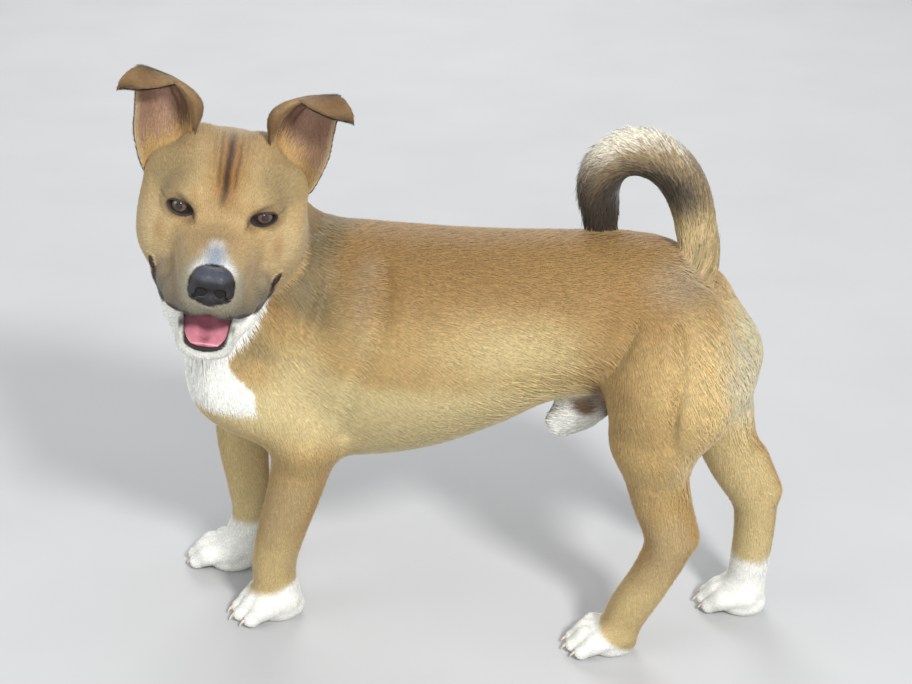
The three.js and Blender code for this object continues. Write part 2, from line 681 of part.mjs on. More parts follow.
// The origin is the middle of the dog's bounding box, on the floor.
const middle = new THREE.Box3().setFromObject(dog).getCenter(new THREE.Vector3());
dog.position.set(-middle.x, -middle.y, -FLOOR);

export default dog;
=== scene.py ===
"""A short-coated, short-legged mixed-breed dog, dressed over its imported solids.

One skin replaces the solids of flesh. It is the zero surface of a signed distance field: named bones,
eggs and lofted barrels that melt into each other, each drawn in by the depth of the coat that grows on
it. The coat is tufts of solid mesh, rooted on the skin and laid along the body. The eyes, nose, tongue
and claws are pieces of their own.
"""

import math
from functools import reduce

import bpy
import numpy as np
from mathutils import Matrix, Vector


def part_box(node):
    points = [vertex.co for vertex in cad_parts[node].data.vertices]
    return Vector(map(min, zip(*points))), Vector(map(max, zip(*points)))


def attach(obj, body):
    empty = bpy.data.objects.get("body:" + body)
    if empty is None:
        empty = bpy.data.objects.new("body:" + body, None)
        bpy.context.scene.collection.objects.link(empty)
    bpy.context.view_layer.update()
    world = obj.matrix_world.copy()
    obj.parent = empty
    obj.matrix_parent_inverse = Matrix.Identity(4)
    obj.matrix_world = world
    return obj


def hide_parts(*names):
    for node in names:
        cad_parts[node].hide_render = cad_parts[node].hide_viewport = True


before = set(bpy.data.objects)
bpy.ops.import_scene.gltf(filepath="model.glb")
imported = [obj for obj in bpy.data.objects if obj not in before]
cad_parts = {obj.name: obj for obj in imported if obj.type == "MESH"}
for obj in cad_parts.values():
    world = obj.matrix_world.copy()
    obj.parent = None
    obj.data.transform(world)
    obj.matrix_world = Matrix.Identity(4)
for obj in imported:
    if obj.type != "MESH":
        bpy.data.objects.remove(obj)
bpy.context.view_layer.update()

import openvdb
from mathutils import Vector

# ---------------------------------------------------------------- driving measures
MM = 0.001  # the dog's own measures are in millimetres; each mesh is turned to metres as it is made
SEED = 11

# The cell of each surface and its box, in the dog's own frame for the skin and in the head's for the others.
SKIN_CELL, SKIN_BOX = 1.6, ((-246, -200, -4), (302, 106, 448))
NOSE_CELL, NOSE_BOX = 0.7, ((50, -22, -48), (88, 22, -4))
TONGUE_CELL, TONGUE_BOX = 1.2, ((-20, -22, -92), (66, 22, -44))
SKIN_SHADE = 0.85  # the skin's colour, as a share of the colour of the hair on it

# How many tufts, their width in millimetres, which grows with their length except on the ears, and how much
# their tones differ.
SHORT_TUFTS, SHORT_WIDTH, SHORT_CONTRAST = 262_000, 0.85, 0.045  # on the skin, apart from the ears
LONG_TUFTS, LONG_WIDTH, LONG_CONTRAST = 22_000, 0.9, 0.06
EAR_TUFTS, EAR_WIDTH, EAR_CONTRAST = 15_000, 0.55, 0.08  # on each ear
LOCK_THICKNESS = 0.45  # in widths of the lock
EAR_LOCK_THICKNESS = 0.28  # in millimetres
LIE_SPREAD = 0.16  # how far single tufts turn aside from the lie of the coat
SWIRL = 0.55  # how far whole patches of the coat do
ROOT_SINK = 0.35  # how deep a tuft's root is set into the skin
BAKE_PATCH = 0.003  # the width of a tuft's patch in its OFBake map

# How far the skin lies inside the solids.
DEPTH = {"trunk": 2.2, "neck": 2.6, "head": 1.0, "leg": 1.5, "foot": 0.7, "tail": 5.0, "sheath": 1.5}

LEFT, RIGHT = -1, 1  # the dog's left side is -Y
TRACK = 42

HEAD_AT = (-128, -108, 384)  # midway between the eyes
HEAD_TURN, HEAD_NOD, HEAD_ROLL = 104, 2, -10
EYE_AT = (-10, 29.5, 0.5)  # in the head's frame: towards the nose, to the left, up
EYE_RADIUS = 10.8
EYE_SLANT = 19  # degrees that the outer corner is above the inner one

CAMERA_AZIMUTH, CAMERA_ELEVATION = 11, 25
CAMERA_ANGLE = 28
CAMERA_TARGET = (24, -8, 249)
CAMERA_DISTANCE = 1436

# Round lights, in metres and watts: name, place, width, power and the point that the light is aimed at.
LIGHTS = [
    ("key", (1.7, -2.2, 2.4), 0.55, 130, (0, 0, 0.2)),
    ("sparkle", (0.55, -2.5, 0.95), 0.42, 16, (0, 0, 0.35)),
    ("fill", (-2.4, -1.6, 1.2), 2.0, 24, (0, 0, 0.25)),
    ("back", (-0.6, 2.4, 2.0), 1.6, 40, (0, 0, 0.3)),
]
WORLD_COLOUR, WORLD_STRENGTH = (0.93, 0.96, 1, 1), 0.75
FLOOR_CORNERS = [(-6, -6, 0), (6, -6, 0), (6, 6, 0), (-6, 6, 0)]


# ---------------------------------------------------------------- fields
# A field maps points, an array of three rows in millimetres, to signed distances that are negative inside.
def column(values):
    return np.array(values, np.float32)[:, None]


def length(v):
    return np.sqrt((v * v).sum(0))


def unit(v):
    return v / np.maximum(length(v), 1e-9)


def step(value, low, high):
    """0 at low, 1 at high, and smooth between them."""
    t = np.clip((value - low) / (high - low), 0, 1)
    return t * t * (3 - 2 * t)


def turned(axis, degrees):
    c, s = math.cos(math.radians(degrees)), math.sin(math.radians(degrees))
    i, j = {"X": (1, 2), "Y": (2, 0), "Z": (0, 1)}[axis]
    m = np.eye(3, dtype=np.float32)
    m[i, i], m[i, j], m[j, i], m[j, j] = c, -s, s, c
    return m


def melt(a, b, k):
    h = np.maximum(k - np.abs(a - b), 0) / k
    return np.minimum(a, b) - h * h * k / 4


def union(k, *fields):
    return lambda p: reduce(lambda d, field: melt(d, field(p), k), fields[1:], fields[0](p))


def carve(k, field, hole):
    return lambda p: -melt(-field(p), hole(p), k)


def drawn_in(depth, field):
    return lambda p: field(p) + depth


def bone(a, b):
    """A tapered bone from (x, y, z, radius) to (x, y, z, radius)."""
    start, run = column(a[:3]), column(np.subtract(b[:3], a[:3]))
    length2 = float((run * run).sum())

    def field(p):
        q = p - start
        t = np.clip((q * run).sum(0) / length2, 0, 1)
        return length(q - run * t) - a[3] - (b[3] - a[3]) * t

    return field


def limb(k, *joints):
    return union(k, *[bone(a, b) for a, b in zip(joints, joints[1:])])


def curve(*joints, pieces=4):
    """A smooth tapered tube through joints."""
    stations = np.arange(len(joints))
    finer = np.linspace(0, stations[-1], stations[-1] * pieces + 1)
    rows = np.stack([along(stations, values, finer) for values in np.array(joints, float).T], axis=1)
    bones = [bone(a, b) for a, b in zip(rows, rows[1:])]
    return lambda p: reduce(np.minimum, [field(p) for field in bones])


def egg(centre, radii, turn=(0, 0, 0)):
    m = turned("X", turn[0]) @ turned("Y", turn[1]) @ turned("Z", turn[2])

    def field(p):
        q = (m.T @ (p - column(centre))) / column(radii)
        reach = length(q)
        return reach * (reach - 1) / np.maximum(length(q / column(radii)), 1e-6)

    return field


def along(stations, values, s):
    """A smooth curve through values at the stations."""
    stations, values = np.asarray(stations, float), np.asarray(values, float)
    last = len(stations) - 1
    t = np.clip(s, stations[0], stations[-1])
    i = np.searchsorted(stations[1:-1], t)
    before, after = np.maximum(np.arange(last + 1) - 1, 0), np.minimum(np.arange(last + 1) + 1, last)
    slope = (values[after] - values[before]) / (stations[after] - stations[before])
    span = stations[i + 1] - stations[i]
    u = (t - stations[i]) / span
    u2, u3 = u * u, u * u * u
    left = (2 * u3 - 3 * u2 + 1) * values[i] + (u3 - 2 * u2 + u) * span * slope[i]
    return left + (3 * u2 - 2 * u3) * values[i + 1] + (u3 - u2) * span * slope[i + 1]


def barrel(rows, squareness):
    """A barrel along x through rows of (x, top, bottom, half width)."""
    x, top, bottom, half = np.array(rows, float).T

    def field(p):
        upper, lower, wide = [along(x, values, p[0]) for values in (top, bottom, half)]
        high = (upper - lower) / 2
        reach = np.abs(p[1] / wide) ** squareness + np.abs((p[2] - lower - high) / high) ** squareness
        inside = (reach ** (1 / squareness) - 1) * np.minimum(wide, high)
        beyond = np.maximum(x[0] - p[0], p[0] - x[-1])
        return np.where(beyond > 0, np.hypot(np.maximum(inside, 0), beyond), np.maximum(inside, beyond))

    return field


def placed(matrix, at, field):
    return lambda p: field(matrix.T @ (p - column(at)))


def local(centre, radius, field, margin=45):
    """A field that is only worked out within a margin of a ball that holds its whole shape."""

    def near(p):
        d = length(p - column(centre)) - radius
        close = d < margin
        d[close] = field(p[:, close])
        return d

    return near


# ---------------------------------------------------------------- anatomy: trunk, neck and tail
TRUNK = [
    (-186, 236, 206, 12),
    (-172, 268, 186, 36),
    (-148, 300, 162, 56),
    (-115, 326, 148, 69),
    (-75, 338, 144, 78),
    (-30, 338, 150, 81),
    (15, 338, 163, 78),
    (60, 340, 184, 70),
    (100, 343, 207, 62),
    (140, 344, 218, 62),
    (178, 343, 216, 60),
    (202, 329, 216, 48),
    (220, 286, 222, 37),
    (235, 258, 236, 15),
]
trunk = barrel(TRUNK, 2.15)
sheath = limb(12, (150, 2, 214, 15), (122, 0, 196, 15), (108, -1, 184, 13))
neck = limb(34, (-98, 0, 250, 64), (-126, -14, 292, 52), (-140, -30, 342, 44), (-146, -46, 378, 42))
throat = limb(30, (-156, -18, 226, 34), (-148, -42, 268, 31), (-140, -64, 312, 29))
buttocks = [bone((198, s * 28, 262, 33), (234, s * 24, 247, 24)) for s in (LEFT, RIGHT)]

TAIL = [
    (206, 2, 326, 15.5),
    (204, 6, 354, 15),
    (197, 9, 380, 16),
    (182, 12, 399, 17),
    (161, 14, 407, 17.5),
    (141, 16, 400, 17),
    (130, 19, 380, 16),
    (131, 24, 350, 13),
]
TAIL_HUB, TAIL_REACH = (166, 0, 350), 92
TAIL_SWELL, SHANK_SWELL = 1.5, 1.8  # the joints' radii grow by this along a curve
tail_base = limb(12, (204, 0, 298, 20), (206, 2, 326, 15.5), (206, 4, 346, 14.5))
tail_ring = drawn_in(-TAIL_SWELL, curve(*TAIL))

# ---------------------------------------------------------------- anatomy: legs
FORE_LEFT = {
    "side": LEFT,
    "heading": 24,
    "foot": (-127, -TRACK),
    "size": 1,
    "root": [(-96, -40, 292, 34), (-137, -50, 226, 37), (-89, -56, 184, 28)],
    "shank": [
        (-88, -52, 174, 25),
        (-99, -49, 130, 21),
        (-114, -46, 84, 18.5),
        (-122, -44, 52, 17),
        (-122, -43, 26, 17),
    ],
}
FORE_RIGHT = {
    "side": RIGHT,
    "heading": 8,
    "foot": (-189, TRACK - 14),
    "size": 1,
    "root": [(-100, 40, 292, 34), (-150, 48, 228, 39), (-158, 52, 184, 29)],
    "shank": [
        (-161, 45, 172, 26),
        (-171, 40, 128, 21.5),
        (-167, 35, 84, 17.5),
        (-164, 31, 52, 15.5),
        (-172, 29, 26, 16),
    ],
}
HIND_LEFT = {
    "side": LEFT,
    "heading": 10,
    "foot": (152, -TRACK + 2),
    "size": 0.94,
    "root": [(194, -32, 278, 45), (197, -43, 238, 42), (185, -50, 202, 30)],
    "shank": [
        (186, -50, 196, 28),
        (192, -48, 150, 21),
        (201, -46, 112, 18),
        (190, -44, 78, 16),
        (173, -42, 44, 16),
        (166, -41, 26, 15),
    ],
    "hock": [(199, -47, 150, 12), (214, -46, 116, 9)],
}
HIND_RIGHT = {
    "side": RIGHT,
    "heading": 8,
    "foot": (253, TRACK),
    "size": 0.94,
    "root": [(194, 32, 274, 44), (212, 43, 228, 41), (222, 47, 186, 28)],
    "shank": [
        (229, 47, 178, 26),
        (246, 46, 136, 20.5),
        (263, 46, 104, 17),
        (265, 45, 74, 15.5),
        (263, 44, 44, 15),
        (261, 43, 26, 15),
    ],
    "hock": [(262, 47, 140, 11), (276, 46, 114, 9)],
}
LEGS = {"fore_left": FORE_LEFT, "fore_right": FORE_RIGHT, "hind_left": HIND_LEFT, "hind_right": HIND_RIGHT}
TOES = (-1.5, -0.5, 0.5, 1.5)
LEG_REACH, FOOT_REACH = 190, 45  # from the middle of a leg, and from the middle of its foot


def foot_frame(spec):
    """The axes and the origin of a foot: x along its toes, z up."""
    return turned("Z", 180 - spec["side"] * spec["heading"]), (*spec["foot"], 0)


def toe(n, size):
    """The joints of a toe, from the knuckle to its tip."""
    reach = 0 if abs(n) > 1 else 7
    return [
        (-12 * size, n * 7 * size, 17 * size, 9 * size),
        ((8 + reach) * size, n * 10.5 * size, 15 * size, 8.2 * size),
        ((19 + reach) * size, n * 11.5 * size, 7 * size, 7 * size),
    ]


def foot(spec):
    size = spec["size"]
    pad = egg((-6 * size, 0, 8 * size), (22 * size, 19 * size, 13 * size))
    toes = [limb(6, *toe(n, size)) for n in TOES]
    matrix, at = foot_frame(spec)
    return placed(matrix, at, union(2.5, pad, *toes))


def leg(spec):
    heel = [limb(10, *spec["hock"])] if "hock" in spec else []
    upper = union(14, limb(34, *spec["root"]), drawn_in(-SHANK_SWELL, curve(*spec["shank"])), *heel)
    middle = np.mean([joint[:3] for joint in spec["root"] + spec["shank"]], 0)
    sole = (*spec["foot"], 10)
    paw = local(sole, FOOT_REACH, drawn_in(DEPTH["foot"], foot(spec)))
    return local(middle, LEG_REACH, union(14, drawn_in(DEPTH["leg"], upper), paw))


legs = {name: leg(spec) for name, spec in LEGS.items()}

# ---------------------------------------------------------------- anatomy: head
HEAD_AXES = turned("Z", 180 + HEAD_TURN) @ turned("Y", HEAD_NOD) @ turned("X", HEAD_ROLL)
HEAD_MIDDLE, HEAD_REACH = (-10, 0, -20), 114  # of a ball that holds the head, in the head's frame
SIDES, SIDE_NAMES = (1, -1), ("left", "right")  # in the head's frame


def to_head(p):
    return HEAD_AXES.T @ (p - column(HEAD_AT))


def from_head(h):
    return HEAD_AXES @ h + column(HEAD_AT)


def mirrored(rows):
    """The same joints on both sides of the head or the body."""
    return [[(x, s * y, z, r) for x, y, z, r in rows] for s in SIDES]


def curves(rows, **options):
    return [curve(*joints, **options) for joints in mirrored(rows)]


def eggs(centre, radii, turn=(0, 0, 0)):
    """An egg on the left and its mirror image on the right."""
    x, y, z = centre
    return [egg((x, s * y, z), radii, (s * turn[0], turn[1], s * turn[2])) for s in SIDES]


skull = union(
    14,
    egg((-50, 0, -2), (50, 45, 39)),
    *eggs((-44, 30, -3), (33, 30, 32)),
    egg((-18, 0, 6), (26, 35, 20)),
    *eggs((-34, 37, -28), (34, 25.5, 35)),
    *eggs((-7, 23, 8), (14, 14, 10), (0, 0, -12)),
)
MUZZLE = [
    (-26, 4, -50, 36),
    (-4, 0, -54, 33),
    (20, -4, -56, 29),
    (44, -8, -53, 26),
    (62, -10, -49, 23.5),
    (71, -14, -45, 19),
    (77, -20, -40, 10),
]
muzzle = barrel(MUZZLE, 2.4)
FLEW = [(-8, 34, -45, 9), (18, 29, -49, 10), (42, 21, -49, 10.5), (60, 11, -44, 11)]
flews = [limb(8, *rows) for rows in mirrored(FLEW)]
socket = union(1, *eggs((5, 31, 0.5), (10, 12, 7.5), (27, 0, 0)))
JAW = [(-44, 36, -42, 15), (-10, 34, -57, 11), (24, 24, -69, 9.5), (48, 12, -80, 8.5)]
jaw = union(
    8,
    *[limb(6, *rows) for rows in mirrored(JAW)],
    egg((48, 0, -84), (13.5, 18.5, 7.5), (0, 15, 0)),
    limb(8, (-44, 0, -54, 24), (10, 0, -76, 11), (38, 0, -84, 6)),
)
MOUTH = [
    (-22, -46, -58, 12),
    (0, -45, -66, 20),
    (20, -48.5, -72, 18),
    (42, -52, -78.5, 16.5),
    (56, -54, -80, 17),
    (68, -55, -81, 30),
    (95, -54, -84, 34),
]
mouth = barrel(MOUTH, 3)
gullet = limb(20, (-46, 0, -30, 40), (-66, 0, -10, 44))

# The lower lip rises from the chin to the corners of the mouth, and the upper lip hangs over it there.
LOWER_LIP = [
    (4, 30, -54, 2),
    (25, 23, -59, 2),
    (42, 19, -68, 1.7),
    (50.5, 17.2, -73.8, 1.5),
    (56.3, 12.5, -78.2, 1.4),
    (59.6, 6, -80, 1.4),
    (60.2, 0, -80.4, 1.4),
]
LIP_LINE = [
    (-12, 46.5, -50, 1.3),
    (8, 42.5, -55, 1.2),
    (25, 37, -58, 1.1),
    (46, 28, -58.5, 1),
    (60, 15, -56, 0.8),
]
CORNER = [(-10, 46.5, -45.5, 2.1), (-3, 46, -46.5, 2.3), (2, 45, -48.5, 1.4)]
LIP_EDGE = [
    (67, 15, -49.5, 1.3),
    (55.5, 23, -54, 1.3),
    (48, 29, -55.5, 1.4),
    (25, 34, -61.5, 1.5),
    (10, 38.5, -62, 1.8),
    (-2, 43, -59.5, 2),
    (0, 45, -50, 1.5),
]
lower_lip = union(1, *curves(LOWER_LIP))
lip_line = union(0.1, *curves(LIP_LINE))
corners = union(0.1, *curves(CORNER))
lip_edge = union(0.1, *curves(LIP_EDGE, pieces=2))

nose_pad = egg((71, 0, -24.5), (12, 15.5, 14), (0, -8, 0))

# Each ear stands in a mound of flesh: behind it, under the bottom of its cup, and on its inner side.
ear_mounds = union(
    6,
    *eggs((-82, 36, 14), (15, 17, 22), (-20, 0, 0)),
    *eggs((-44, 43, 9), (13, 15, 17), (-24, 0, 0)),
    *eggs((-60, 22, 24), (18, 15, 19)),
)

# The lids are a low dome over each eye, opened by an almond.
LID_AT = (-9.5, 30.5, -0.3)
ALMOND = (9, 9.2, 4.5)
lids = eggs(LID_AT, (12.2, 13.6, 11.4), (EYE_SLANT, 0, 0))
almond = union(0.1, *eggs((3, *LID_AT[1:]), ALMOND, (EYE_SLANT, 0, 0)))
philtrum = limb(1, (88, 0, -34, 1.1), (80, 0, -42, 1.0), (72, 0, -54, 1.0))


def face(p):
    """The head, in its own frame, with lips and lids."""
    upper = carve(5, union(8, union(10, union(16, skull, muzzle), ear_mounds), *flews), socket)
    whole = carve(3, union(9, upper, union(12, jaw, gullet)), mouth)
    lidded = union(3.5, drawn_in(DEPTH["head"], whole), *lids)
    lipped = carve(1.5, union(4, lidded, lower_lip, corners), lip_line)
    return carve(0.8, carve(0.8, lipped, almond), philtrum)(p)


head = local(from_head(column(HEAD_MIDDLE))[:, 0], HEAD_REACH, placed(HEAD_AXES, HEAD_AT, face))
neck_skin = drawn_in(DEPTH["neck"], union(30, neck, throat))
trunk_skin = drawn_in(DEPTH["trunk"], union(18, trunk, *buttocks))
tail_skin = local(TAIL_HUB, TAIL_REACH, drawn_in(DEPTH["tail"], union(8, tail_ring, tail_base)))
sheath_skin = drawn_in(DEPTH["sheath"], sheath)


# Shallow furrows between the muscles: behind the shoulder, before it, before the thigh and along the ham.
FURROWS = [
    [
        (-27, 43, 326, 3.4),
        (-21, 63, 308, 4),
        (-23, 77, 282, 4),
        (-35, 82, 252, 4),
        (-50, 78.5, 216, 4),
        (-55, 71.5, 192, 3),
    ],
    [(-66, 58, 318, 3), (-72, 72, 290, 3.4), (-84, 81.5, 262, 3.4), (-100, 89, 238, 3)],
    [(140, 58, 254, 3), (150, 64, 264, 3), (160, 66.5, 282, 2.6), (168, 64.5, 304, 2)],
    [(200, 68, 300, 3), (204, 82, 276, 3.2), (202, 87.5, 248, 3.2), (198, 86.5, 216, 3)],
]
furrows = union(2, *[side for furrow in FURROWS for side in curves(furrow, pieces=2)])


def dog(p):
    """The whole skin."""
    torso = union(26, trunk_skin, neck_skin)
    body = carve(8, union(18, torso, head, sheath_skin, *legs.values()), furrows)
    whole = union(6, body, tail_skin)
    return np.maximum(whole(p), -p[2])


# ---------------------------------------------------------------- surfaces of fields
def gradient(field, p, h=0.35):
    """The slope of a field, from samples at the corners of a tetrahedron."""
    tetrahedron = [(1, -1, -1), (-1, -1, 1), (-1, 1, -1), (1, 1, 1)]
    return sum(column(c) * field(p + h * column(c)) for c in tetrahedron) / (4 * h)


def surface(field, low, high, cell, rounds=2, block=4):
    """Points and quads of a field's surface in a box. Only blocks that it may cross are worked out."""
    low, high = np.array(low, float), np.array(high, float)
    blocks = np.ceil((high - low) / (cell * block)).astype(int)
    middle = [low[a] + (np.arange(blocks[a]) + 0.5) * cell * block for a in range(3)]
    centres = np.stack(np.meshgrid(*middle, indexing="ij")).reshape(3, -1).astype(np.float32)
    rough = field(centres)
    active = np.abs(rough) < cell * block * 1.4 + 3

    inside = (np.arange(block) - (block - 1) / 2) * cell
    offsets = np.stack(np.meshgrid(inside, inside, inside, indexing="ij")).reshape(3, 1, -1)
    fine = (centres[:, active, None] + offsets).reshape(3, -1).astype(np.float32)
    values = np.where(rough < 0, -10.0, 10.0)[:, None] * np.ones(block**3)
    values[active] = field(fine).reshape(-1, block**3)
    dense = values.reshape(*blocks, block, block, block).transpose(0, 3, 1, 4, 2, 5)
    dense = dense.reshape(*(blocks * block))

    grid = openvdb.FloatGrid(10.0)
    grid.copyFromArray(np.ascontiguousarray(dense, dtype=np.float32))
    points, quads = grid.convertToQuads(isovalue=0.0)
    p = ((points + 0.5) * cell + low).T.astype(np.float32)
    for _ in range(rounds):
        g = gradient(field, p)
        p = p - g * np.clip(field(p) / np.maximum((g * g).sum(0), 0.05), -cell, cell)
    return p, quads


def normals_of(p, quads):
    """Normals at the points of a quad mesh."""
    a, b, c, d = [p[:, quads[:, i]] for i in range(4)]
    faces = np.cross(c - a, d - b, axis=0)
    total = np.zeros_like(p)
    for i in range(4):
        for axis in range(3):
            total[axis] += np.bincount(quads[:, i], faces[axis], minlength=p.shape[1])
    return unit(total)


def ring_quads(rings, around):
    """Quads between closed rings of points that follow each other."""
    ids = np.arange(rings * around).reshape(rings, around)
    after = np.roll(ids, -1, axis=1)
    return np.stack([ids[:-1], ids[1:], after[1:], after[:-1]], axis=-1).reshape(-1, 4)


def joined(meshes):
    """The points and faces of several meshes as those of one."""
    starts = np.cumsum([0] + [p.shape[1] for p, _ in meshes])
    faces = [quads + start for (_, quads), start in zip(meshes, starts)]
    return np.hstack([p for p, _ in meshes]), np.vstack(faces)


# ---------------------------------------------------------------- from the dog's own frame to the row frame
def middle_of(node):
    low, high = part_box(node)
    return np.array((low + high) / 2)


EYES = [from_head(column((EYE_AT[0], s * EYE_AT[1], EYE_AT[2])))[:, 0] for s in SIDES]
# The dog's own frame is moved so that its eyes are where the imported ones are.
SHIFT = (middle_of("eye_left") + middle_of("eye_right")) / 2 - (EYES[0] + EYES[1]) / 2 * MM


def to_row(p):
    return p.T * MM + SHIFT


def linked(name, data):
    """An object for the data, put in the scene."""
    thing = bpy.data.objects.new(name, data)
    bpy.context.collection.objects.link(thing)
    return thing


def mesh_of(name, p, faces, colours):
    """A mesh object of points in the dog's own frame. Faces is an array of quads or triangles."""
    mesh = bpy.data.meshes.new(name)
    sides = faces.shape[1]
    mesh.vertices.add(p.shape[1])
    mesh.vertices.foreach_set("co", to_row(p).astype(np.float32).ravel())
    mesh.loops.add(faces.size)
    mesh.loops.foreach_set("vertex_index", faces.astype(np.int32).ravel())
    mesh.polygons.add(len(faces))
    mesh.polygons.foreach_set("loop_start", np.arange(0, faces.size, sides, dtype=np.int32))
    mesh.update(calc_edges=True)
    mesh.shade_smooth()
    layer = mesh.color_attributes.new("Markings", "FLOAT_COLOR", "POINT")
    rgba = np.vstack([np.clip(colours, 0, 1), np.ones(colours.shape[1])]).T
    layer.data.foreach_set("color", rgba.astype(np.float32).ravel())
    return linked(name, mesh)


# Constants of a hash: large primes for the three axes and the seed, and shifts with their factors.
HASH_PRIMES, HASH_SEED = (73856093, 19349663, 83492791), 2971215073
HASH_ROUNDS = ((15, 2246822519), (13, 3266489917))


def noise(p, cell, seed=0):
    """Smooth noise from 0 to 1 with features about a cell across."""
    q = p / cell + 1000.5
    i = np.floor(q).astype(np.int64)
    f = q - i
    f = f * f * (3 - 2 * f)
    total = 0
    for corner in range(8):
        d = [(corner >> a) & 1 for a in range(3)]
        key = (seed + 7) * HASH_SEED
        for a in range(3):
            key = key ^ (i[a] + d[a]) * HASH_PRIMES[a]
        for shift, factor in HASH_ROUNDS:
            key = ((key ^ (key >> shift)) * factor) & 0xFFFFFFFF
        weight = np.prod([f[a] if d[a] else 1 - f[a] for a in range(3)], axis=0)
        total = total + weight * (key & 0xFFFF) / 65535
    return total


# ---------------------------------------------------------------- markings
def rgb(r, g, b):
    """A linear colour from its display values, 0 to 255."""
    c = np.array([r, g, b]) / 255
    return np.where(c < 0.04045, c / 12.92, ((c + 0.055) / 1.055) ** 2.4)[:, None]


BACK = rgb(150, 117, 70)
GOLD = rgb(180, 151, 99)
ORANGE = rgb(161, 126, 74)
CREAM = rgb(202, 183, 134)
PALE = rgb(216, 206, 172)
WHITE = rgb(236, 236, 228)
OLIVE = rgb(126, 112, 80)
GREY = rgb(158, 150, 130)
DARK = rgb(50, 42, 33)
BROWN = rgb(118, 88, 54)
SPOT = rgb(146, 110, 62)
CROWN = rgb(150, 126, 88)
CONCHA = rgb(154, 119, 98)
LIP = rgb(40, 32, 31)
GUM = rgb(84, 36, 42)


def paint(colour, over, mask):
    return colour + (over - colour) * mask


def patch(centre, radii, soft, *q):
    """1 inside an ellipse or an egg and 0 outside, over a soft border."""
    reach = np.sqrt(sum(((v - c) / r) ** 2 for v, c, r in zip(q, centre, radii)))
    return 1 - step(reach, 1 - soft, 1 + soft)


def shares(p):
    """How much each point belongs to each part, from 0 to 1."""
    fields = {"trunk": trunk_skin, "neck": neck_skin, "head": head, "tail": tail_skin}
    fields.update(sheath=sheath_skin, **legs)
    names = list(fields)
    d = np.stack([fields[name](p) for name in names])
    weight = np.exp(-(d - d.min(0)) / 5)
    weight /= weight.sum(0)
    return {name: weight[i] for i, name in enumerate(names)}


def markings(p, n, part):
    """The colour of the coat at points with normals n."""
    x, y, z = p
    wave = (noise(p, 18, 1) - 0.5) * 2
    fleck = (noise(p, 5, 2) - 0.5) * 2
    c = trunk_markings(p, n, wave)
    c = paint(c, leg_markings(p, n, part, wave), sum(part[name] for name in LEGS) * step(z, 215, 165))
    # Painted shade: olive in the fold at the root of the neck, beside the white of the throat.
    neck_fold_shade = patch((-120, 268), (12, 12), 0.9, x + 2 * wave, z - 0.6 * (x + 120))
    c = paint(c, OLIVE, neck_fold_shade * step(np.abs(y), 30, 45) * 0.5)
    c = paint(c, WHITE, throat_white(p, wave))
    c = paint(c, WHITE, part["sheath"])
    c = paint(c, SPOT * 0.6, part["sheath"] * patch((128, 207), (9, 8), 0.35, x, z + 0.3 * (x - 128)))
    # Dark brown at the back of the sheath: partly its dark skin, partly painted shade between it and the
    # thigh.
    c = paint(c, BROWN * 0.7, part["sheath"] * step(x, 138, 148))
    # Painted shadow: dark brown deep in the fold between the belly and the thigh.
    c = paint(c, BROWN * 0.55, patch((139, 224), (10, 24), 0.4, x, z) * step(np.abs(y), 66, 56) * 0.8)
    c = paint(c, WHITE, feet_white(p, part, wave))
    c = paint(c, tail_markings(p), step(part["tail"], 0.35, 0.75))
    c = paint(c, head_markings(p), step(part["head"], 0.4, 0.62))
    return c * (1 + 0.05 * fleck)


def trunk_markings(p, n, wave):
    """Brown on the back, gold on the side and cream below, with darker flanks and shoulders, painted shade in
    the hollow behind the shoulder and on the neck under the head, and painted highlights on the upper arm and
    behind the shoulder.
    """
    x, y, z = p
    side = np.abs(y)
    c = paint(GOLD * np.ones_like(p), BACK, step(z + 7 * wave, 268, 322))
    c = paint(c, CREAM, patch((85, 268), (50, 22), 0.9, x + 6 * wave, z) * 0.75)
    c = paint(c, CREAM, step(z + 6 * wave, 252, 226) * step(x, 150, 110))
    c = paint(c, ORANGE, patch((150, 262), (22, 58), 0.8, x + 4 * wave, z - 0.2 * (x - 150)) * 0.5)
    c = paint(c, CREAM, patch((222, 262), (20, 60), 0.8, x + 3 * wave, z) * 0.25)
    # Painted shade: the brown of the back carried down into the hollow behind the shoulder.
    c = paint(c, BACK, patch((-18, 318), (14, 26), 0.8, x + 3 * wave, z) * 0.7)
    # Painted highlight: a paler grey band on the sides, along the ridge behind the shoulder.
    c = paint(c, GREY, patch((-38, 306), (9, 40), 0.9, x + 3 * wave, z) * step(side, 20, 45) * 0.25)
    hair = (noise(np.stack([x * 3, y * 3, z]), 14, 7) - 0.5) * 2
    # Olive-grey hair on the neck behind the head, darkened further as painted shade where the head shadows
    # the neck, in streaks of hair.
    c = paint(c, OLIVE, patch((-76, 322), (16, 34), 0.8, x + 0.5 * (z - 322) + 3 * wave, z) * 0.6)
    c = paint(c, OLIVE * 0.85, patch((-84, 308), (15, 26), 0.7, x + 0.6 * (z - 308) + 4 * hair, z) * 0.8)
    c = paint(c, OLIVE * 0.8, patch((-80, 335), (15, 15), 0.7, x + 3 * hair, z) * 0.7)
    before_shoulder = patch((-108, 263), (16, 8), 0.8, x + 3 * wave, z + 0.5 * (x + 108))
    c = paint(c, OLIVE, before_shoulder * step(side, 30, 45) * 0.5)
    # Painted highlight: pale cream on the upper arm.
    c = paint(c, CREAM, patch((-84, 242), (20, 22), 0.8, x, z) * 0.75)
    c = paint(c, PALE, step(-n[2], 0.6, 0.95) * 0.7)
    c = paint(c, GREY, patch((204, 326), (24, 12), 0.9, x, z) * 0.45)
    rump = step(x + 4 * wave + 0.08 * (z - 250), 226, 250) * step(z, 170, 200)
    return paint(c, rgb(180, 172, 144), rump * 0.85)


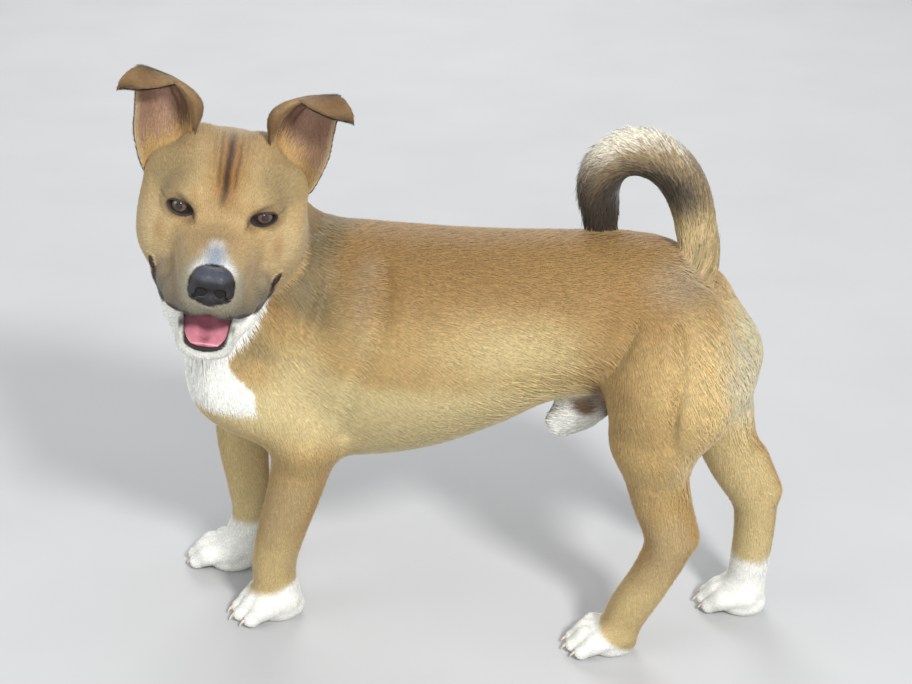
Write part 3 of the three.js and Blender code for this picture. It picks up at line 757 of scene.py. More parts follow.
def leg_markings(p, n, part, wave):
    """Gold on the outside, darker along the front and the back, partly its own colour and partly painted
    shade, cream inside.
    """
    x, y, z = p
    hind = part["hind_left"] + part["hind_right"]
    # Darker orange where the leg faces forward or back: partly the coat's own colour, partly painted shade.
    c = paint(GOLD * np.ones_like(p), ORANGE, step(np.abs(n[0]), 0.35, 0.95) * 0.5)
    c = paint(c, ORANGE, step(wave, 0.1, 0.9) * 0.35)
    c = paint(c, CREAM, step(np.sign(y) * n[1], 0.1, -0.8) * 0.6)
    c = paint(c, CREAM, step(z, 100, 60) * 0.5)
    outside = step(np.sign(y) * n[1], 0.4, 0.9)
    c = paint(c, GREY, patch((0, 112), (1, 30), 0.5, 0 * x, z + 8 * wave) * outside * 0.22)
    return paint(c, PALE, hind * step(n[0], 0.2, 0.9) * step(z, 165, 210))


def throat_white(p, wave):
    """White from the chin down the throat to the front of the chest."""
    x, y, z = p
    below = -135 + 19 * step(z, 253, 230)
    edge = x - np.maximum(-134 + 0.64 * (z - 257), below) + 4 * wave
    far_edge = y - 26 + 0.1 * (z - 230) + 0.2 * np.maximum(z - 230, 0) + 5 * wave
    bottom = 212 + 0.006 * np.maximum(y + 50, 0) ** 2
    bib = step(edge, 2, -2) * step(z - bottom + 3 * wave, -4, 5) * step(z + 6 * wave, 345, 315)
    return bib * step(far_edge, 5, -5)


def feet_white(p, part, wave):
    x, z = p[0], p[2]
    toes = part["fore_left"] * step(z + 3 * wave - 0.25 * (x + 127), 36, 28)
    near_hind = part["hind_left"] * step(z + 3 * wave + 0.9 * (x - 146), 36, 26)
    far_fore = part["fore_right"] * step(z + 3 * wave, 54, 44)
    far_hind = part["hind_right"] * step(z + 3 * wave, 58, 46)
    return np.clip(toes + near_hind + far_fore + far_hind, 0, 1)


def tail_turn(p):
    """How far round its ring a point of the tail is, from 0 at the root to 1 at the tip, and its radius."""
    x, z = p[0] - TAIL_HUB[0], p[2] - TAIL_HUB[2]
    return (np.arctan2(z, x) + 0.7) / (math.pi + 1.0), np.hypot(x, z)


def tail_markings(p):
    """Tan at the root, pale outside its curve, grey-brown between, and dark inside it and at the tip."""
    turn, radius = tail_turn(p)
    streak = (noise(np.stack([p[1] * 2.5, turn * 50, radius * 2.5]), 8, 5) - 0.5) * 2
    c = paint(rgb(126, 108, 80) * np.ones_like(p), rgb(84, 68, 48), step(streak, 0.0, 0.7) * 0.7)
    c = paint(c, rgb(170, 147, 104), step(turn + 0.04 * streak, 0.36, 0.16) * 0.85)
    pale = step(radius + 5 * streak, 54, 69) * step(turn, 0.05, 0.25) * step(turn, 0.82, 0.62)
    c = paint(c, rgb(206, 200, 182), pale)
    c = paint(c, OLIVE * 0.9, step(turn, 0.3, 0.1) * step(streak, 0.1, 0.8) * 0.6)
    c = paint(c, DARK, step(radius + 3 * streak, 54, 42) * step(turn, 0.12, 0.35) * 0.9)
    return paint(c, DARK, step(turn + 0.07 * streak, 0.58, 0.8) * 0.85)


def head_markings(p):
    h = to_head(p)
    f, l, u = h
    side = np.abs(l)
    wave = (noise(p, 9, 3) - 0.5) * 2
    c = rgb(174, 146, 100) * np.ones_like(p)
    c = paint(c, rgb(192, 170, 126), patch((50, -26), (14, 20), 0.9, side, u) * 0.8)
    c = paint(c, rgb(184, 158, 110), patch((20, 20), (12, 9), 0.9, side, u) * 0.8)
    c = paint(c, OLIVE, patch((44, 22), (19, 15), 0.75, side, u + 2 * wave) * step(f, -70, -20) * 0.65)
    c = paint(c, CROWN * 0.92, step(u + 2 * wave, 26, 44) * 0.8)
    c = paint(c, OLIVE, patch((38, 4), (12, 4), 0.8, side, u - 0.1 * side) * step(f, -50, -20) * 0.45)
    c = paint(c, OLIVE, step(f, -52, -88) * 0.5)
    c = paint(c, forehead(l, u, wave), patch((1, 28), (14, 22), 0.7, l + 2 * wave, u) * step(f, -75, -40))
    c = paint(c, SPOT, patch((43, -21), (4, 8), 0.9, side + wave, u) * 0.55)
    c = paint(c, SPOT, patch((21, 13), (2.5, 5), 0.9, side, u) * 0.45)
    c = paint(c, rgb(154, 130, 92), patch((0, -5), (14, 12), 0.8, l, u) * step(f, 5, 30) * 0.8)
    c = paint(c, rgb(136, 124, 96), step(side + wave, 32, 16) * step(u, -12, -24) * step(f, 22, 42) * 0.85)
    c = paint(c, rgb(106, 100, 84), step(u + 2 * wave, -26, -48) * step(f, -8, 14) * 0.9)
    c = muzzle_white(c, f, l, u, wave)
    jaw_line = np.maximum(u + 77 - 0.37 * (f + 18), u + 61)
    c = paint(c, WHITE, step(jaw_line + wave, 2, -3) * step(f, -50, -30) * (1 - 0.3 * step(f, 30, 55)))
    return lips_and_lids(c, h, wave)


def forehead(l, u, wave):
    """Orange-brown, with dark streaks that run up from between the brows."""
    c = rgb(150, 118, 68) * np.ones((3, len(l)))
    c = paint(c, rgb(136, 92, 38), step(np.abs(l - 1), 11, 3) * step(u, 4, 14) * 0.75)
    for middle, slope, low, high, half, depth in STREAKS:
        away = np.abs(l - middle - slope * (u - low) - 0.8 * wave) / half
        strength = step(away, 1.6, 0.1) * step(u, low - 3, low + 3) * step(u, high + 6, high - 6)
        c = paint(c, rgb(60, 34, 10), strength * depth)
    return c


# The dark streaks of the forehead: their place across, slant, lowest and highest point, half width and depth.
STREAKS = [
    (-0.5, 0.04, 7, 48, 2.8, 1.0),
    (6.5, 0.08, 19, 38, 1.2, 0.6),
    (-5, -0.1, 20, 44, 1.3, 0.55),
    (12, 0.1, 32, 46, 1.3, 0.4),
    (-11, -0.1, 30, 46, 1.3, 0.35),
]


def muzzle_white(c, f, l, u, wave):
    """White over the nose in a point up the bridge, fading to grey beside and below it, with bluish painted
    shade down its middle.
    """
    near_nose = nose_pad(np.stack([f, l, u]))
    c = paint(c, rgb(148, 142, 122), step(near_nose + wave, 13, 4) * step(f, 30, 48) * 0.85)
    above = patch((0, -15), (14, 6.5), 0.35, l + wave, u + 0.15 * np.abs(l)) * step(f, 36, 48)
    point = patch((0, -10), (5.5, 6.5), 0.6, l, u) * step(f, 28, 44)
    c = paint(c, rgb(218, 218, 212), np.maximum(above, point * 0.85) * 0.92)
    # Painted shade: a bluish grey streak down the middle of the white above the nose.
    return paint(c, rgb(126, 138, 152), patch((0, -12), (6, 8), 0.8, l, u) * step(f, 34, 48) * 0.85)


def lips_and_lids(c, h, wave):
    """The dark edges of the mouth and the eyes, and painted shade in a crease at the outer corner of each
    eye.
    """
    f, l, u = h
    side = np.abs(l)
    eye = almond(h)
    c = paint(c, BROWN, step(eye, 5.5, 2.2) * 0.6)
    c = paint(c, LIP * 1.2, step(eye + 0.3 * wave, 2.0, 0.9))
    inner_corner = patch((20, -4.5), (2.4, 1.5), 0.8, side, u - 0.5 * (side - 20))
    c = paint(c, LIP * 1.5, inner_corner * step(f, -20, -5) * 0.6)
    # Painted shade: a short dark crease at the outer corner of the eye.
    outer_crease_shade = patch((42.5, 4.5), (3.5, 0.9), 0.7, side, u - 0.1 * (side - 42))
    c = paint(c, BROWN * 0.7, outer_crease_shade * step(f, -30, -15) * 0.5)
    edge = mouth(h)
    upper = step(u, -60, -56)
    lips = step(edge + 0.4 * wave, 1.4 + 4.6 * upper, 0.6 + 3.8 * upper)
    c = paint(c, LIP, lips * np.maximum(upper, step(side, 20, 14)))
    mouth_corner = patch((43, -56), (5, 7), 0.7, side, u + 0.2 * f) * step(f, -14, -6)
    c = paint(c, BROWN * 0.75, mouth_corner * step(f, 20, 8) * 0.75)
    c = paint(c, GUM, step(edge, 0.8, 0.2) * step(f, 40, 20))
    c = paint(c, LIP, step(lip_line(h) + 0.3 * wave, 1.4, 0.7))
    c = paint(c, LIP, step(corners(h) + 0.3 * wave, 0.9, 0.3))
    c = paint(c, LIP * 1.2, step(lower_lip(h) + 0.3 * wave, 0.6, 0.0))
    c = paint(c, LIP * 1.2, step(lip_edge(h) + 0.6 * wave, 2.4, 0.4) * 0.95)
    c = paint(c, LIP, step(philtrum(h), 1.0, 0.2) * step(u, -36, -39))
    return paint(c, LIP * 0.4, step(nose_pad(h), 1.5, 0.5))


# ---------------------------------------------------------------- materials
class Nodes:
    """A material's node tree, with a short way to add nodes and link them."""

    def __init__(self, name, roughness, **settings):
        self.material = bpy.data.materials.new(name)
        self.material.use_nodes = True
        self.tree = self.material.node_tree
        self.shader = self.tree.nodes["Principled BSDF"]
        self.shader.inputs["Roughness"].default_value = roughness
        for socket, value in settings.items():
            self.shader.inputs[socket.replace("_", " ")].default_value = value

    def add(self, kind, inputs=(), **settings):
        node = self.tree.nodes.new("ShaderNode" + kind)
        for key, value in settings.items():
            setattr(node, key, value)
        for socket, value in dict(inputs).items():
            if isinstance(value, bpy.types.NodeSocket):
                self.tree.links.new(value, node.inputs[socket])
            else:
                node.inputs[socket].default_value = value
        return node

    def where(self):
        return self.add("TexCoord").outputs["Object"]

    def noise(self, scale, detail=3):
        inputs = {"Vector": self.where(), "Scale": scale, "Detail": detail}
        return self.add("TexNoise", inputs).outputs["Fac"]

    def ramp(self, value, low, high):
        """Maps a value of about 0.3 to 0.7 to the range from low to high."""
        inputs = {"Value": value, 1: 0.3, 2: 0.7, 3: low, 4: high}
        return self.add("MapRange", inputs).outputs["Result"]

    def speckled(self, scale, low, high, detail=3):
        """Shows the markings, made darker and lighter by noise from low to high times. Gives the noise."""
        speckle = self.noise(scale, detail)
        factor = self.ramp(speckle, low, high)
        grey = self.add("CombineXYZ", {"X": factor, "Y": factor, "Z": factor}).outputs["Vector"]
        markings = self.add("Attribute", attribute_name="Markings").outputs["Color"]
        product = self.add("VectorMath", {0: markings, 1: grey}, operation="MULTIPLY")
        self.set("Base Color", product.outputs["Vector"])
        return speckle

    def set(self, socket, value):
        self.tree.links.new(value, self.shader.inputs[socket])

    def bump(self, height, strength, distance):
        inputs = {"Height": height, "Strength": strength, "Distance": distance}
        self.set("Normal", self.add("Bump", inputs).outputs["Normal"])


def coat_material():
    """Hair: the markings, broken up by fine noise, with a soft sheen."""
    nodes = Nodes("coat", 0.62, Specular_IOR_Level=0.35, Sheen_Weight=0.12, Sheen_Roughness=0.5)
    nodes.speckled(420, 0.84, 1.14)
    return nodes.material


def skin_material():
    """The skin carries the markings of the coat, and its bump is the nap of the shortest hairs."""
    nodes = Nodes("skin", 0.7, Specular_IOR_Level=0.3)
    nap = nodes.speckled(900, 0.7, 1.05, detail=4)
    nodes.bump(nap, 0.5, 0.0006)
    return nodes.material


def nose_material():
    nodes = Nodes("nose", 0.42, Specular_IOR_Level=0.36, Coat_Weight=0.08, Coat_Roughness=0.3)
    nodes.speckled(250, 0.75, 1.3)
    inputs = {"Vector": nodes.where(), "Scale": 850}
    cobbles = nodes.add("TexVoronoi", inputs, feature="DISTANCE_TO_EDGE").outputs["Distance"]
    edge = nodes.add("MapRange", {"Value": cobbles, 1: 0.0, 2: 0.22}).outputs["Result"]
    nodes.bump(edge, 0.45, 0.0003)
    return nodes.material


def tongue_material():
    nodes = Nodes("tongue", 0.34, Subsurface_Weight=0.15, Coat_Weight=0.35, Coat_Roughness=0.15)
    nodes.shader.inputs["Subsurface Radius"].default_value = (0.004, 0.0015, 0.001)
    nodes.speckled(160, 0.85, 1.15)
    buds = nodes.noise(1300)
    nodes.bump(buds, 0.35, 0.0004)
    return nodes.material


def eye_material():
    nodes = Nodes("eye", 0.05, Specular_IOR_Level=0.4, Coat_Weight=0.5, Coat_Roughness=0.02)
    nodes.speckled(700, 0.8, 1.2)
    return nodes.material


def rim_material():
    """The wet black edges of the eyelids."""
    nodes = Nodes("lid_rim", 0.5, Specular_IOR_Level=0.35)
    nodes.speckled(600, 0.7, 1.4)
    return nodes.material


def claw_material():
    nodes = Nodes("claw", 0.36, Specular_IOR_Level=0.5)
    grain = nodes.speckled(500, 0.75, 1.25, detail=2)
    nodes.bump(grain, 0.25, 0.0003)
    return nodes.material


def floor_material():
    nodes = Nodes("floor", 0.85)
    nodes.set("Base Color", nodes.ramp(nodes.noise(6), 0.42, 0.44))
    return nodes.material


def finish(piece, material, slot, *replaced):
    """Gives a piece its material and has it ride on the dog. Its slot is not used."""
    piece.data.materials.append(material)
    if replaced:
        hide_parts(*replaced)
    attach(piece, "root")


# ---------------------------------------------------------------- skin and ears
FLESH = [
    *["head", "lower_jaw", "neck", "trunk", "sheath", "ear_left", "ear_right"],
    *[f"{part}_{side}" for part in ("fore_leg", "fore_paw", "hind_leg", "hind_paw") for side in SIDE_NAMES],
    *["tail_base", "tail_rise", "tail_arch", "tail_tip"],
]

# Rows up an ear: its medial edge, its lateral edge, how deep it is cupped and how far its medial edge is
# rolled.
EAR = np.array(
    [
        (-52, 29, 26, -48, 57, -3, 14, 0),
        (-49, 26.5, 41, -46, 65, 13, 19, 0.3),
        (-48, 25, 54, -45, 71, 34, 20, 0.8),
        (-47, 27, 64, -44, 72, 51, 17, 1),
        (-46, 34, 72, -43, 73, 71, 11, 1),
        (-42, 43, 77, -41, 72, 84, 5, 0.5),
        (-34, 51, 77, -34, 76, 86, 2, 0),
        (-25, 63, 76, -26, 82, 81, 1, 0),
        (-19, 76, 76, -19, 84, 76, 0.5, 0),
    ],
    float,
)
EAR_PLAIN = (-1, -0.92, -0.76, -0.44, -0.05, 0.34, 0.72, 1)
EAR_ROLLED = (-0.66, -0.88, -1, -0.44, -0.05, 0.34, 0.72, 1)
EAR_FORWARD = (-1, -5, -2)  # where the rolled edge lies, from behind to in front
EAR_THICKNESS = 3.0
EAR_ROWS, EAR_COLUMNS = 72, 48


def ear_sheet(side):
    """The middle of an ear's sheet, in the head's frame, as rows of points from its root to its tip."""
    s = np.linspace(0, len(EAR) - 1, EAR_ROWS)[:, None]
    v = [along(np.arange(len(EAR)), values, s) for values in EAR.T]
    t = np.linspace(0, len(EAR_PLAIN) - 1, EAR_COLUMNS)[None, :]
    stations = np.arange(len(EAR_PLAIN))
    plain = along(stations, EAR_PLAIN, t)
    rolled = along(stations, EAR_ROLLED, t)
    forward = along(stations[:4], [*EAR_FORWARD, 0], t)
    edge = step(-t, -3, -2)
    depth, roll = v[6], v[7]
    across = (plain + (rolled - plain) * roll + 1) / 2
    cup = depth * (1 - np.abs(plain) ** 2.5)
    back = cup + (forward - cup) * roll * edge
    medial = [v[0], v[1] * side, v[2]]
    lateral = [v[3], v[4] * side, v[5]]
    sheet = np.stack([m + (n - m) * across for m, n in zip(medial, lateral)])
    sheet[0] -= back
    return sheet


def ear_solid(side):
    """The points, normals and quads of an ear in the dog's own frame. Its front is the first half."""
    sheet = ear_sheet(side)
    up = np.gradient(sheet, axis=1)
    across = np.gradient(sheet, axis=2)
    normal = unit(np.cross(across, up, axis=0) * side)
    row, col = np.mgrid[0:EAR_ROWS, 0:EAR_COLUMNS]
    to_rim = np.minimum(np.minimum(col, EAR_COLUMNS - 1 - col) / 5, (EAR_ROWS - 1 - row) / 6)
    half = EAR_THICKNESS / 2 * (0.35 + 0.65 * step(to_rim, 0, 1))
    points = np.concatenate([(sheet + face * half * normal).reshape(3, -1) for face in (1, -1)], axis=1)
    normals = np.concatenate([(face * normal).reshape(3, -1) for face in (1, -1)], axis=1)

    ids = row * EAR_COLUMNS + col
    corners = ((0, 0), (0, 1), (1, 1), (1, 0))
    a, b, c, d = [ids[i : EAR_ROWS - 1 + i, j : EAR_COLUMNS - 1 + j].ravel() for i, j in corners]
    behind = EAR_ROWS * EAR_COLUMNS
    ring = np.concatenate([ids[0, :-1], ids[:-1, -1], ids[-1, :0:-1], ids[:0:-1, 0]])
    following = np.roll(ring, -1)
    quads = np.concatenate(
        [
            np.stack([a, b, c, d], 1),
            np.stack([d, c, b, a], 1) + behind,
            np.stack([ring, ring + behind, following + behind, following], 1),
        ]
    )
    if side < 0:
        quads = quads[:, ::-1]
    return from_head(points), HEAD_AXES @ normals, quads


def ear_markings(p, front, place):
    """Brown outside. Inside, a fleshy cup with golden hair at its bottom and a pale outer rim, with painted
    shade low in the cup, along its fold and under the flap, and a painted highlight beside the fold.
    """
    across, up = place
    wave = (noise(p, 7, 6) - 0.5) * 2
    outside = paint(rgb(132, 104, 70) * np.ones_like(p), rgb(112, 84, 52), 0.5 + 0.5 * wave)
    outside = paint(outside, rgb(156, 128, 88), patch((0.25, 0.62), (0.3, 0.2), 0.9, across, up) * 0.6)
    outside = paint(outside, rgb(92, 68, 42), step(up, 0.86, 1.0) * 0.8)
    # Painted shade: darker low in the cup, towards its inner side.
    bottom = patch((0.38, 0.3), (0.16, 0.26), 0.8, across, up)
    inside = paint(CONCHA * np.ones_like(p), rgb(104, 72, 54), bottom * 0.9)
    # Painted highlight on the ridge beside the fold of the cup.
    inside = paint(inside, rgb(176, 142, 122), patch((0.62, 0.42), (0.14, 0.16), 0.9, across, up) * 0.7)
    # Painted shade along the fold inside the cup.
    fold = step(np.abs(across - 0.5 - 0.3 * (up - 0.36)), 0.03, 0.01)
    inside = paint(inside, rgb(96, 66, 50), fold * step(up, 0.2, 0.26) * 0.8)
    inside = paint(inside, rgb(146, 112, 66), step(across, 0.24, 0.12))
    inside = paint(inside, rgb(182, 146, 90), step(up + 0.05 * wave, 0.22, 0.1))
    inside = paint(inside, rgb(200, 180, 140), step(across, 0.94, 0.98) * 0.6)
    # Painted shadow of the flap, just under its edge.
    inside = paint(inside, rgb(96, 70, 48), step(up, 0.44, 0.52) * 0.7)
    return paint(outside, inside, front * step(up, 0.6, 0.52))


def split(quads):
    """Each quad as two triangles."""
    return np.concatenate([quads[:, [0, 1, 2]], quads[:, [0, 2, 3]]])


def make_skin(p, quads, colours, ears, material):
    """One mesh for the skin: the body, and the two ears, whose roots are sunk in it."""
    points, faces = joined([(p, quads), *[(ear["points"], ear["quads"]) for ear in ears]])
    piece = mesh_of("skin", points, faces, np.hstack([colours, *[ear["colours"] for ear in ears]]))
    finish(piece, material, "tan_coat", *FLESH)


# ---------------------------------------------------------------- coat
def scatter(rng, p, triangles, density, count):
    """Spreads roots evenly over triangles. Gives a function that carries values from the points to them."""
    a, b, c = [p[:, triangles[:, i]] for i in range(3)]
    area = length(np.cross(b - a, c - a, axis=0)) / 2
    expected = np.cumsum(area * density[triangles].mean(1))
    picks = (np.arange(count) + rng.random(count)) / count * expected[-1]
    chosen = triangles[np.minimum(np.searchsorted(expected, picks), len(triangles) - 1)]
    u, v = np.sqrt(rng.random(count)), rng.random(count)
    weights = np.stack([1 - u, u * (1 - v), u * v])
    return lambda values: sum(values[..., chosen[:, i]] * weights[i] for i in range(3))


def flow(p, n, part):
    """The lie of the coat: unit vectors along the skin."""
    x, z = p[0], p[2]
    one = np.ones_like(x)
    back = np.stack([one, 0 * x, -0.22 - 0.35 * step(z, 320, 240)])
    under_chest = np.stack([one * 0.8, 0 * x, -one])
    trunk_lie = paint(back, under_chest, step(x, -110, -150))
    neck_lie = np.stack([0.35 * one, 0.25 * one, -one])
    head_lie = p - from_head(column((92, 0, -16)))
    head_lie = unit(head_lie) + 0.35 * HEAD_AXES @ (np.stack([0 * x, 0 * x, -one]) * step(-n[2], -0.3, 0.6))
    total = part["trunk"] * unit(trunk_lie) + part["neck"] * unit(neck_lie) + part["head"] * unit(head_lie)
    total = total + part["sheath"] * column((-0.97, 0, 0.1)) + part["tail"] * tail_lie(p)
    for name, spec in LEGS.items():
        down = np.stack([0.2 + 0.35 * step(z, 190, 260), 0 * x, -one])
        forward = foot_frame(spec)[0] @ column((1, 0, -0.5)) * one
        total = total + part[name] * unit(paint(down, forward, step(z, 48, 26)))
    swirl = np.stack([noise(p, 34, seed) - 0.5 for seed in (11, 12, 13)])
    total = unit(total) + SWIRL * swirl
    return unit(total - n * (total * n).sum(0))


def tail_lie(p):
    """Along the tail from its root to its tip."""
    joints = np.array(TAIL)[:, :3]
    middles, runs = (joints[1:] + joints[:-1]) / 2, np.diff(joints, axis=0)
    away = np.stack([length(p - column(m)) for m in middles])
    weights = np.exp(-(away - away.min(0)) / 6)
    return unit(sum(w * column(run / np.linalg.norm(run)) for w, run in zip(weights, runs)))


def mixed(part, **values):
    """A value for each point from the values of the parts it belongs to. Legs share one value."""
    return sum(share * values["leg" if name in LEGS else name] for name, share in part.items())


def coat_length(p, part):
    """Short round the eyes and on the muzzle and the feet, and longest on the tail."""
    z, h = p[2], to_head(p)
    face_length = 2.4 + 4.6 * step(h[0], 55, -70) * step(almond(h), 3, 26)
    leg_length = 4.5 + 3.5 * step(z, 110, 230)
    size = mixed(part, trunk=8.5, neck=10, head=face_length, tail=16, sheath=7, leg=leg_length)
    leg_share = sum(part[name] for name in LEGS)
    return size * (1 - 0.5 * leg_share * step(z, 50, 22))


def coat_rise(p, part):
    """How far the tips stand off the skin, which is the depth of the coat."""
    on_leg = DEPTH["foot"] + (DEPTH["leg"] - DEPTH["foot"]) * step(p[2], 25, 60)
    return mixed(part, **{**DEPTH, "leg": on_leg})


# Fields of the face that no hair grows on, and how far round them it is bare.
BARE = [(mouth, 3), (lower_lip, 0.7), (lip_line, 1.6), (corners, 1), (almond, 2.4), (nose_pad, 0.5)]


def coat_density(p, _, part):
    """How close the short tufts stand, next to those of the trunk."""
    z, h = p[2], to_head(p)
    face_density = 2.2 + 1.6 * step(h[0], -20, 40)
    density = mixed(part, trunk=1, neck=1, head=face_density, tail=0.9, sheath=1.3, leg=1.3)
    leg_share = sum(part[name] for name in LEGS)
    density = density * (1 + 1.2 * leg_share * step(z, 60, 25))
    bare = reduce(np.minimum, [field(h) - margin for field, margin in BARE])
    return density * step(bare, 0, 0.6) * step(z, 2, 5)


def long_density(p, n, part):
    """Where longer locks stand: the tail, the breeches, the edge of the belly, the ruff and the chest."""
    x, z = p[0], p[2]
    hind = part["hind_left"] + part["hind_right"] + part["trunk"]
    breeches = hind * step(n[0], 0.25, 0.8) * step(z, 150, 190) * step(x, 190, 215) * step(z, 315, 290)
    belly = part["trunk"] * step(-n[2], 0.0, 0.7) * step(x, 40, 90) * 0.6
    ruff = part["neck"] * step(z, 215, 250) * 0.3
    chest = (part["trunk"] + part["neck"]) * step(-x, 135, 160) * 0.5
    return part["tail"] * 3.2 + breeches + belly + np.maximum(ruff, chest) + 0.5 * part["sheath"]


def long_length(p, part):
    tail_length = 21 + 6 * step(tail_turn(p)[1], 44, 58)
    return mixed(part, trunk=13, neck=8.5, head=5.5, tail=tail_length, sheath=9, leg=13)


# A tuft is a closed lock: rings of three points along it, and a tip. Its keel, the third point, stands up.
RING = ((-0.5, 0), (0.5, 0), (0, 1))  # across and up, in widths and thicknesses
LOCK_ROUNDNESS = 0.9  # how far a lock's sides turn away from the skin's normal in the shading


def lock_faces(rings):
    faces = [(0, 2, 1)]
    for r in range(rings - 1):
        for i in range(3):
            a, b = 3 * r + i, 3 * r + (i + 1) % 3
            faces += [(a, b, b + 3), (a, b + 3, a + 3)]
    last = 3 * (rings - 1)
    return np.array(faces + [(last + i, last + (i + 1) % 3, last + 3) for i in range(3)])


def make_locks(field, root, lie, n, size, rise, rings):
    """The points and normals of many locks, by axis, lock and point. They keep to the form of the field."""
    across = unit(np.cross(n, lie, axis=0))
    wide, thick = size["width"], size["thickness"]
    layers = []
    for r in range(rings + 1):
        s = r / rings
        spine = root + lie * (size["length"] * s)
        if r:
            lift = rise * (1 - (1 - s) ** 1.6) - field(spine)
            spine = spine + n * np.clip(lift, -size["length"] / 2, size["length"] / 2)
        else:
            spine = spine - n * ROOT_SINK
        if r == rings:
            layers.append(spine[:, :, None])
        else:
            slim = 1 - 0.25 * s
            ring = [spine + across * wide * slim * a + n * thick * slim * b for a, b in RING]
            layers.append(np.stack(ring, axis=2))
    facing = [unit(n + LOCK_ROUNDNESS * a * across) for a, _ in RING] * rings + [n]
    return np.concatenate(layers, axis=2), np.stack(facing, axis=2)


def shade_locks(rng, colours, rings, contrast):
    """Darker at the root than at the tip, and each lock a little lighter or darker than its neighbours."""
    count = colours.shape[1]
    tone = 1 + contrast * rng.standard_normal(count)
    steps = np.concatenate([np.repeat(np.linspace(0.86, 1.0, rings), 3), [1.05]])
    warm = 1 + 0.03 * rng.standard_normal((3, count))
    return np.clip(colours * tone * warm, 0, 1)[:, :, None] * steps


def lock_uv(place, rings):
    """A patch for each lock in its OFBake map, at its root's place."""
    corners = [(a * 2, 2 * r / rings - 1) for r in range(rings) for a, _ in RING] + [(0, 1)]
    patch_points = np.array(corners).T * BAKE_PATCH / 2
    centre = BAKE_PATCH + place * (1 - 2 * BAKE_PATCH)
    return centre[:, :, None] + patch_points[:, None, :]


def coat_piece(name, locks, colours, uv, rings, material, slot):
    """One mesh of many locks, shaded with the skin so that the coat looks soft."""
    points, facing = locks
    count, each = points.shape[1:]
    faces = (lock_faces(rings)[None] + np.arange(count)[:, None, None] * each).reshape(-1, 3)
    piece = mesh_of(name, points.reshape(3, -1), faces, colours.reshape(3, -1))
    piece.data.normals_split_custom_set_from_vertices(facing.reshape(3, -1).T.tolist())
    layer = piece.data.uv_layers.new(name="OFBake")
    layer.data.foreach_set("uv", uv.reshape(2, -1).T[faces.ravel()].astype(np.float32).ravel())
    finish(piece, material, slot)


# Each part of the skin is unrolled round an axis of its own: how far along the axis, and how far round.
def axis_of(name):
    if name in LEGS:
        spec = LEGS[name]
        return [*[joint[:3] for joint in spec["root"] + spec["shank"]], (*spec["foot"], 5)]
    axes = {
        "trunk": [(x, 0, (top + bottom) / 2) for x, top, bottom, _ in TRUNK[1:]],
        "neck": [(-98, 0, 230), (-126, -14, 292), (-140, -30, 342), (-146, -46, 380)],
        "head": [from_head(column((f, 0, -20)))[:, 0] for f in (-100, -40, 20, 85)],
        "tail": [joint[:3] for joint in [(204, 0, 290), *TAIL]],
        "sheath": [(160, 2, 214), (122, 0, 196), (98, -1, 180)],
    }
    return axes[name]


def unrolled(p, axis):
    """How far along and round an axis each point is, both from 0 to 1."""
    joints = [column(joint) for joint in axis]
    reach, total, nearest = 0, sum(float(length(b - a)[0]) for a, b in zip(joints, joints[1:])), None
    for a, b in zip(joints, joints[1:]):
        run = b - a
        span = float(length(run)[0])
        t = np.clip(((p - a) * run).sum(0) / span**2, 0, 1)
        off = p - a - run * t
        aside = unit(np.cross(run, column((0.2, 1, 0.3)), axis=0))
        above = unit(np.cross(run, aside, axis=0))
        angle = np.arctan2((off * above).sum(0), (off * aside).sum(0)) / math.tau + 0.5
        found = np.stack([(reach + t * span) / total, angle, length(off)])
        nearest = found if nearest is None else np.where(found[2] < nearest[2], found, nearest)
        reach += span
    return nearest[:2]


# The coat's pieces: the slot of each part, and how many pieces it is cut into along its unrolled length and
# round it.
PIECES = {
    "trunk": ("tan_coat", 3, 2),
    "neck": ("tan_coat", 1, 1),
    "head": ("tan_coat", 2, 1),
    "tail": ("tail_coat", 1, 1),
    "sheath": ("white_coat", 1, 1),
    **{name: ("tan_coat", 1, 1) for name in LEGS},
}


def stray(rng, lie, n):
    """The lie of each tuft: along the skin, and a little to one side of its neighbours'."""
    lie = unit(lie + LIE_SPREAD * np.cross(n, lie, axis=0) * rng.standard_normal(lie.shape[1]))
    return unit(lie - n * (lie * n).sum(0))


def grow(rng, label, skin, density, count, lengths, rings, width, contrast, material):
    """Grows locks on the skin and makes them into pieces, one or a few for each part of the dog."""
    closeness = density(skin["points"], skin["normals"], skin["part"])
    at = scatter(rng, skin["points"], skin["triangles"], closeness, count)
    root, n = at(skin["points"]), unit(at(skin["normals"]))
    part = {name: at(share) for name, share in skin["part"].items()}
    lie = stray(rng, at(skin["lie"]), n)
    long = lengths(root, part) * rng.uniform(0.75, 1.2, count)
    size = {"length": long, "width": width * (0.5 + long / 22) * rng.uniform(0.8, 1.25, count)}
    size["thickness"] = LOCK_THICKNESS * size["width"]
    rise = coat_rise(root, part) * rng.uniform(0.65, 1.05, count)
    colours = shade_locks(rng, markings(root + lie * long * 0.3, n, part), rings, contrast)
    points, facing = make_locks(dog, root, lie, n, size, rise, rings)

    owner = np.argmax(np.stack([part[name] for name in PIECES]), axis=0)
    for i, (name, (slot, lengthwise, round_it)) in enumerate(PIECES.items()):
        mine = np.flatnonzero(owner == i)
        if not len(mine):
            continue
        place = unrolled(root[:, mine], axis_of(name))
        bounds = np.quantile(place[0], np.linspace(0, 1, lengthwise + 1)[1:-1])
        sector = (place[1] * round_it).astype(int).clip(0, round_it - 1)
        cell = np.searchsorted(bounds, place[0]) * round_it + sector
        for k in range(lengthwise * round_it):
            chosen = mine[cell == k]
            spread = place[:, cell == k]
            low, high = spread.min(1, keepdims=True), spread.max(1, keepdims=True)
            uv = lock_uv((spread - low) / (high - low), rings)
            tag = f"_{k + 1}" if lengthwise * round_it > 1 else ""
            locks = (points[:, chosen], facing[:, chosen])
            coat_piece(f"{label}_{name}{tag}", locks, colours[:, chosen], uv, rings, material, slot)


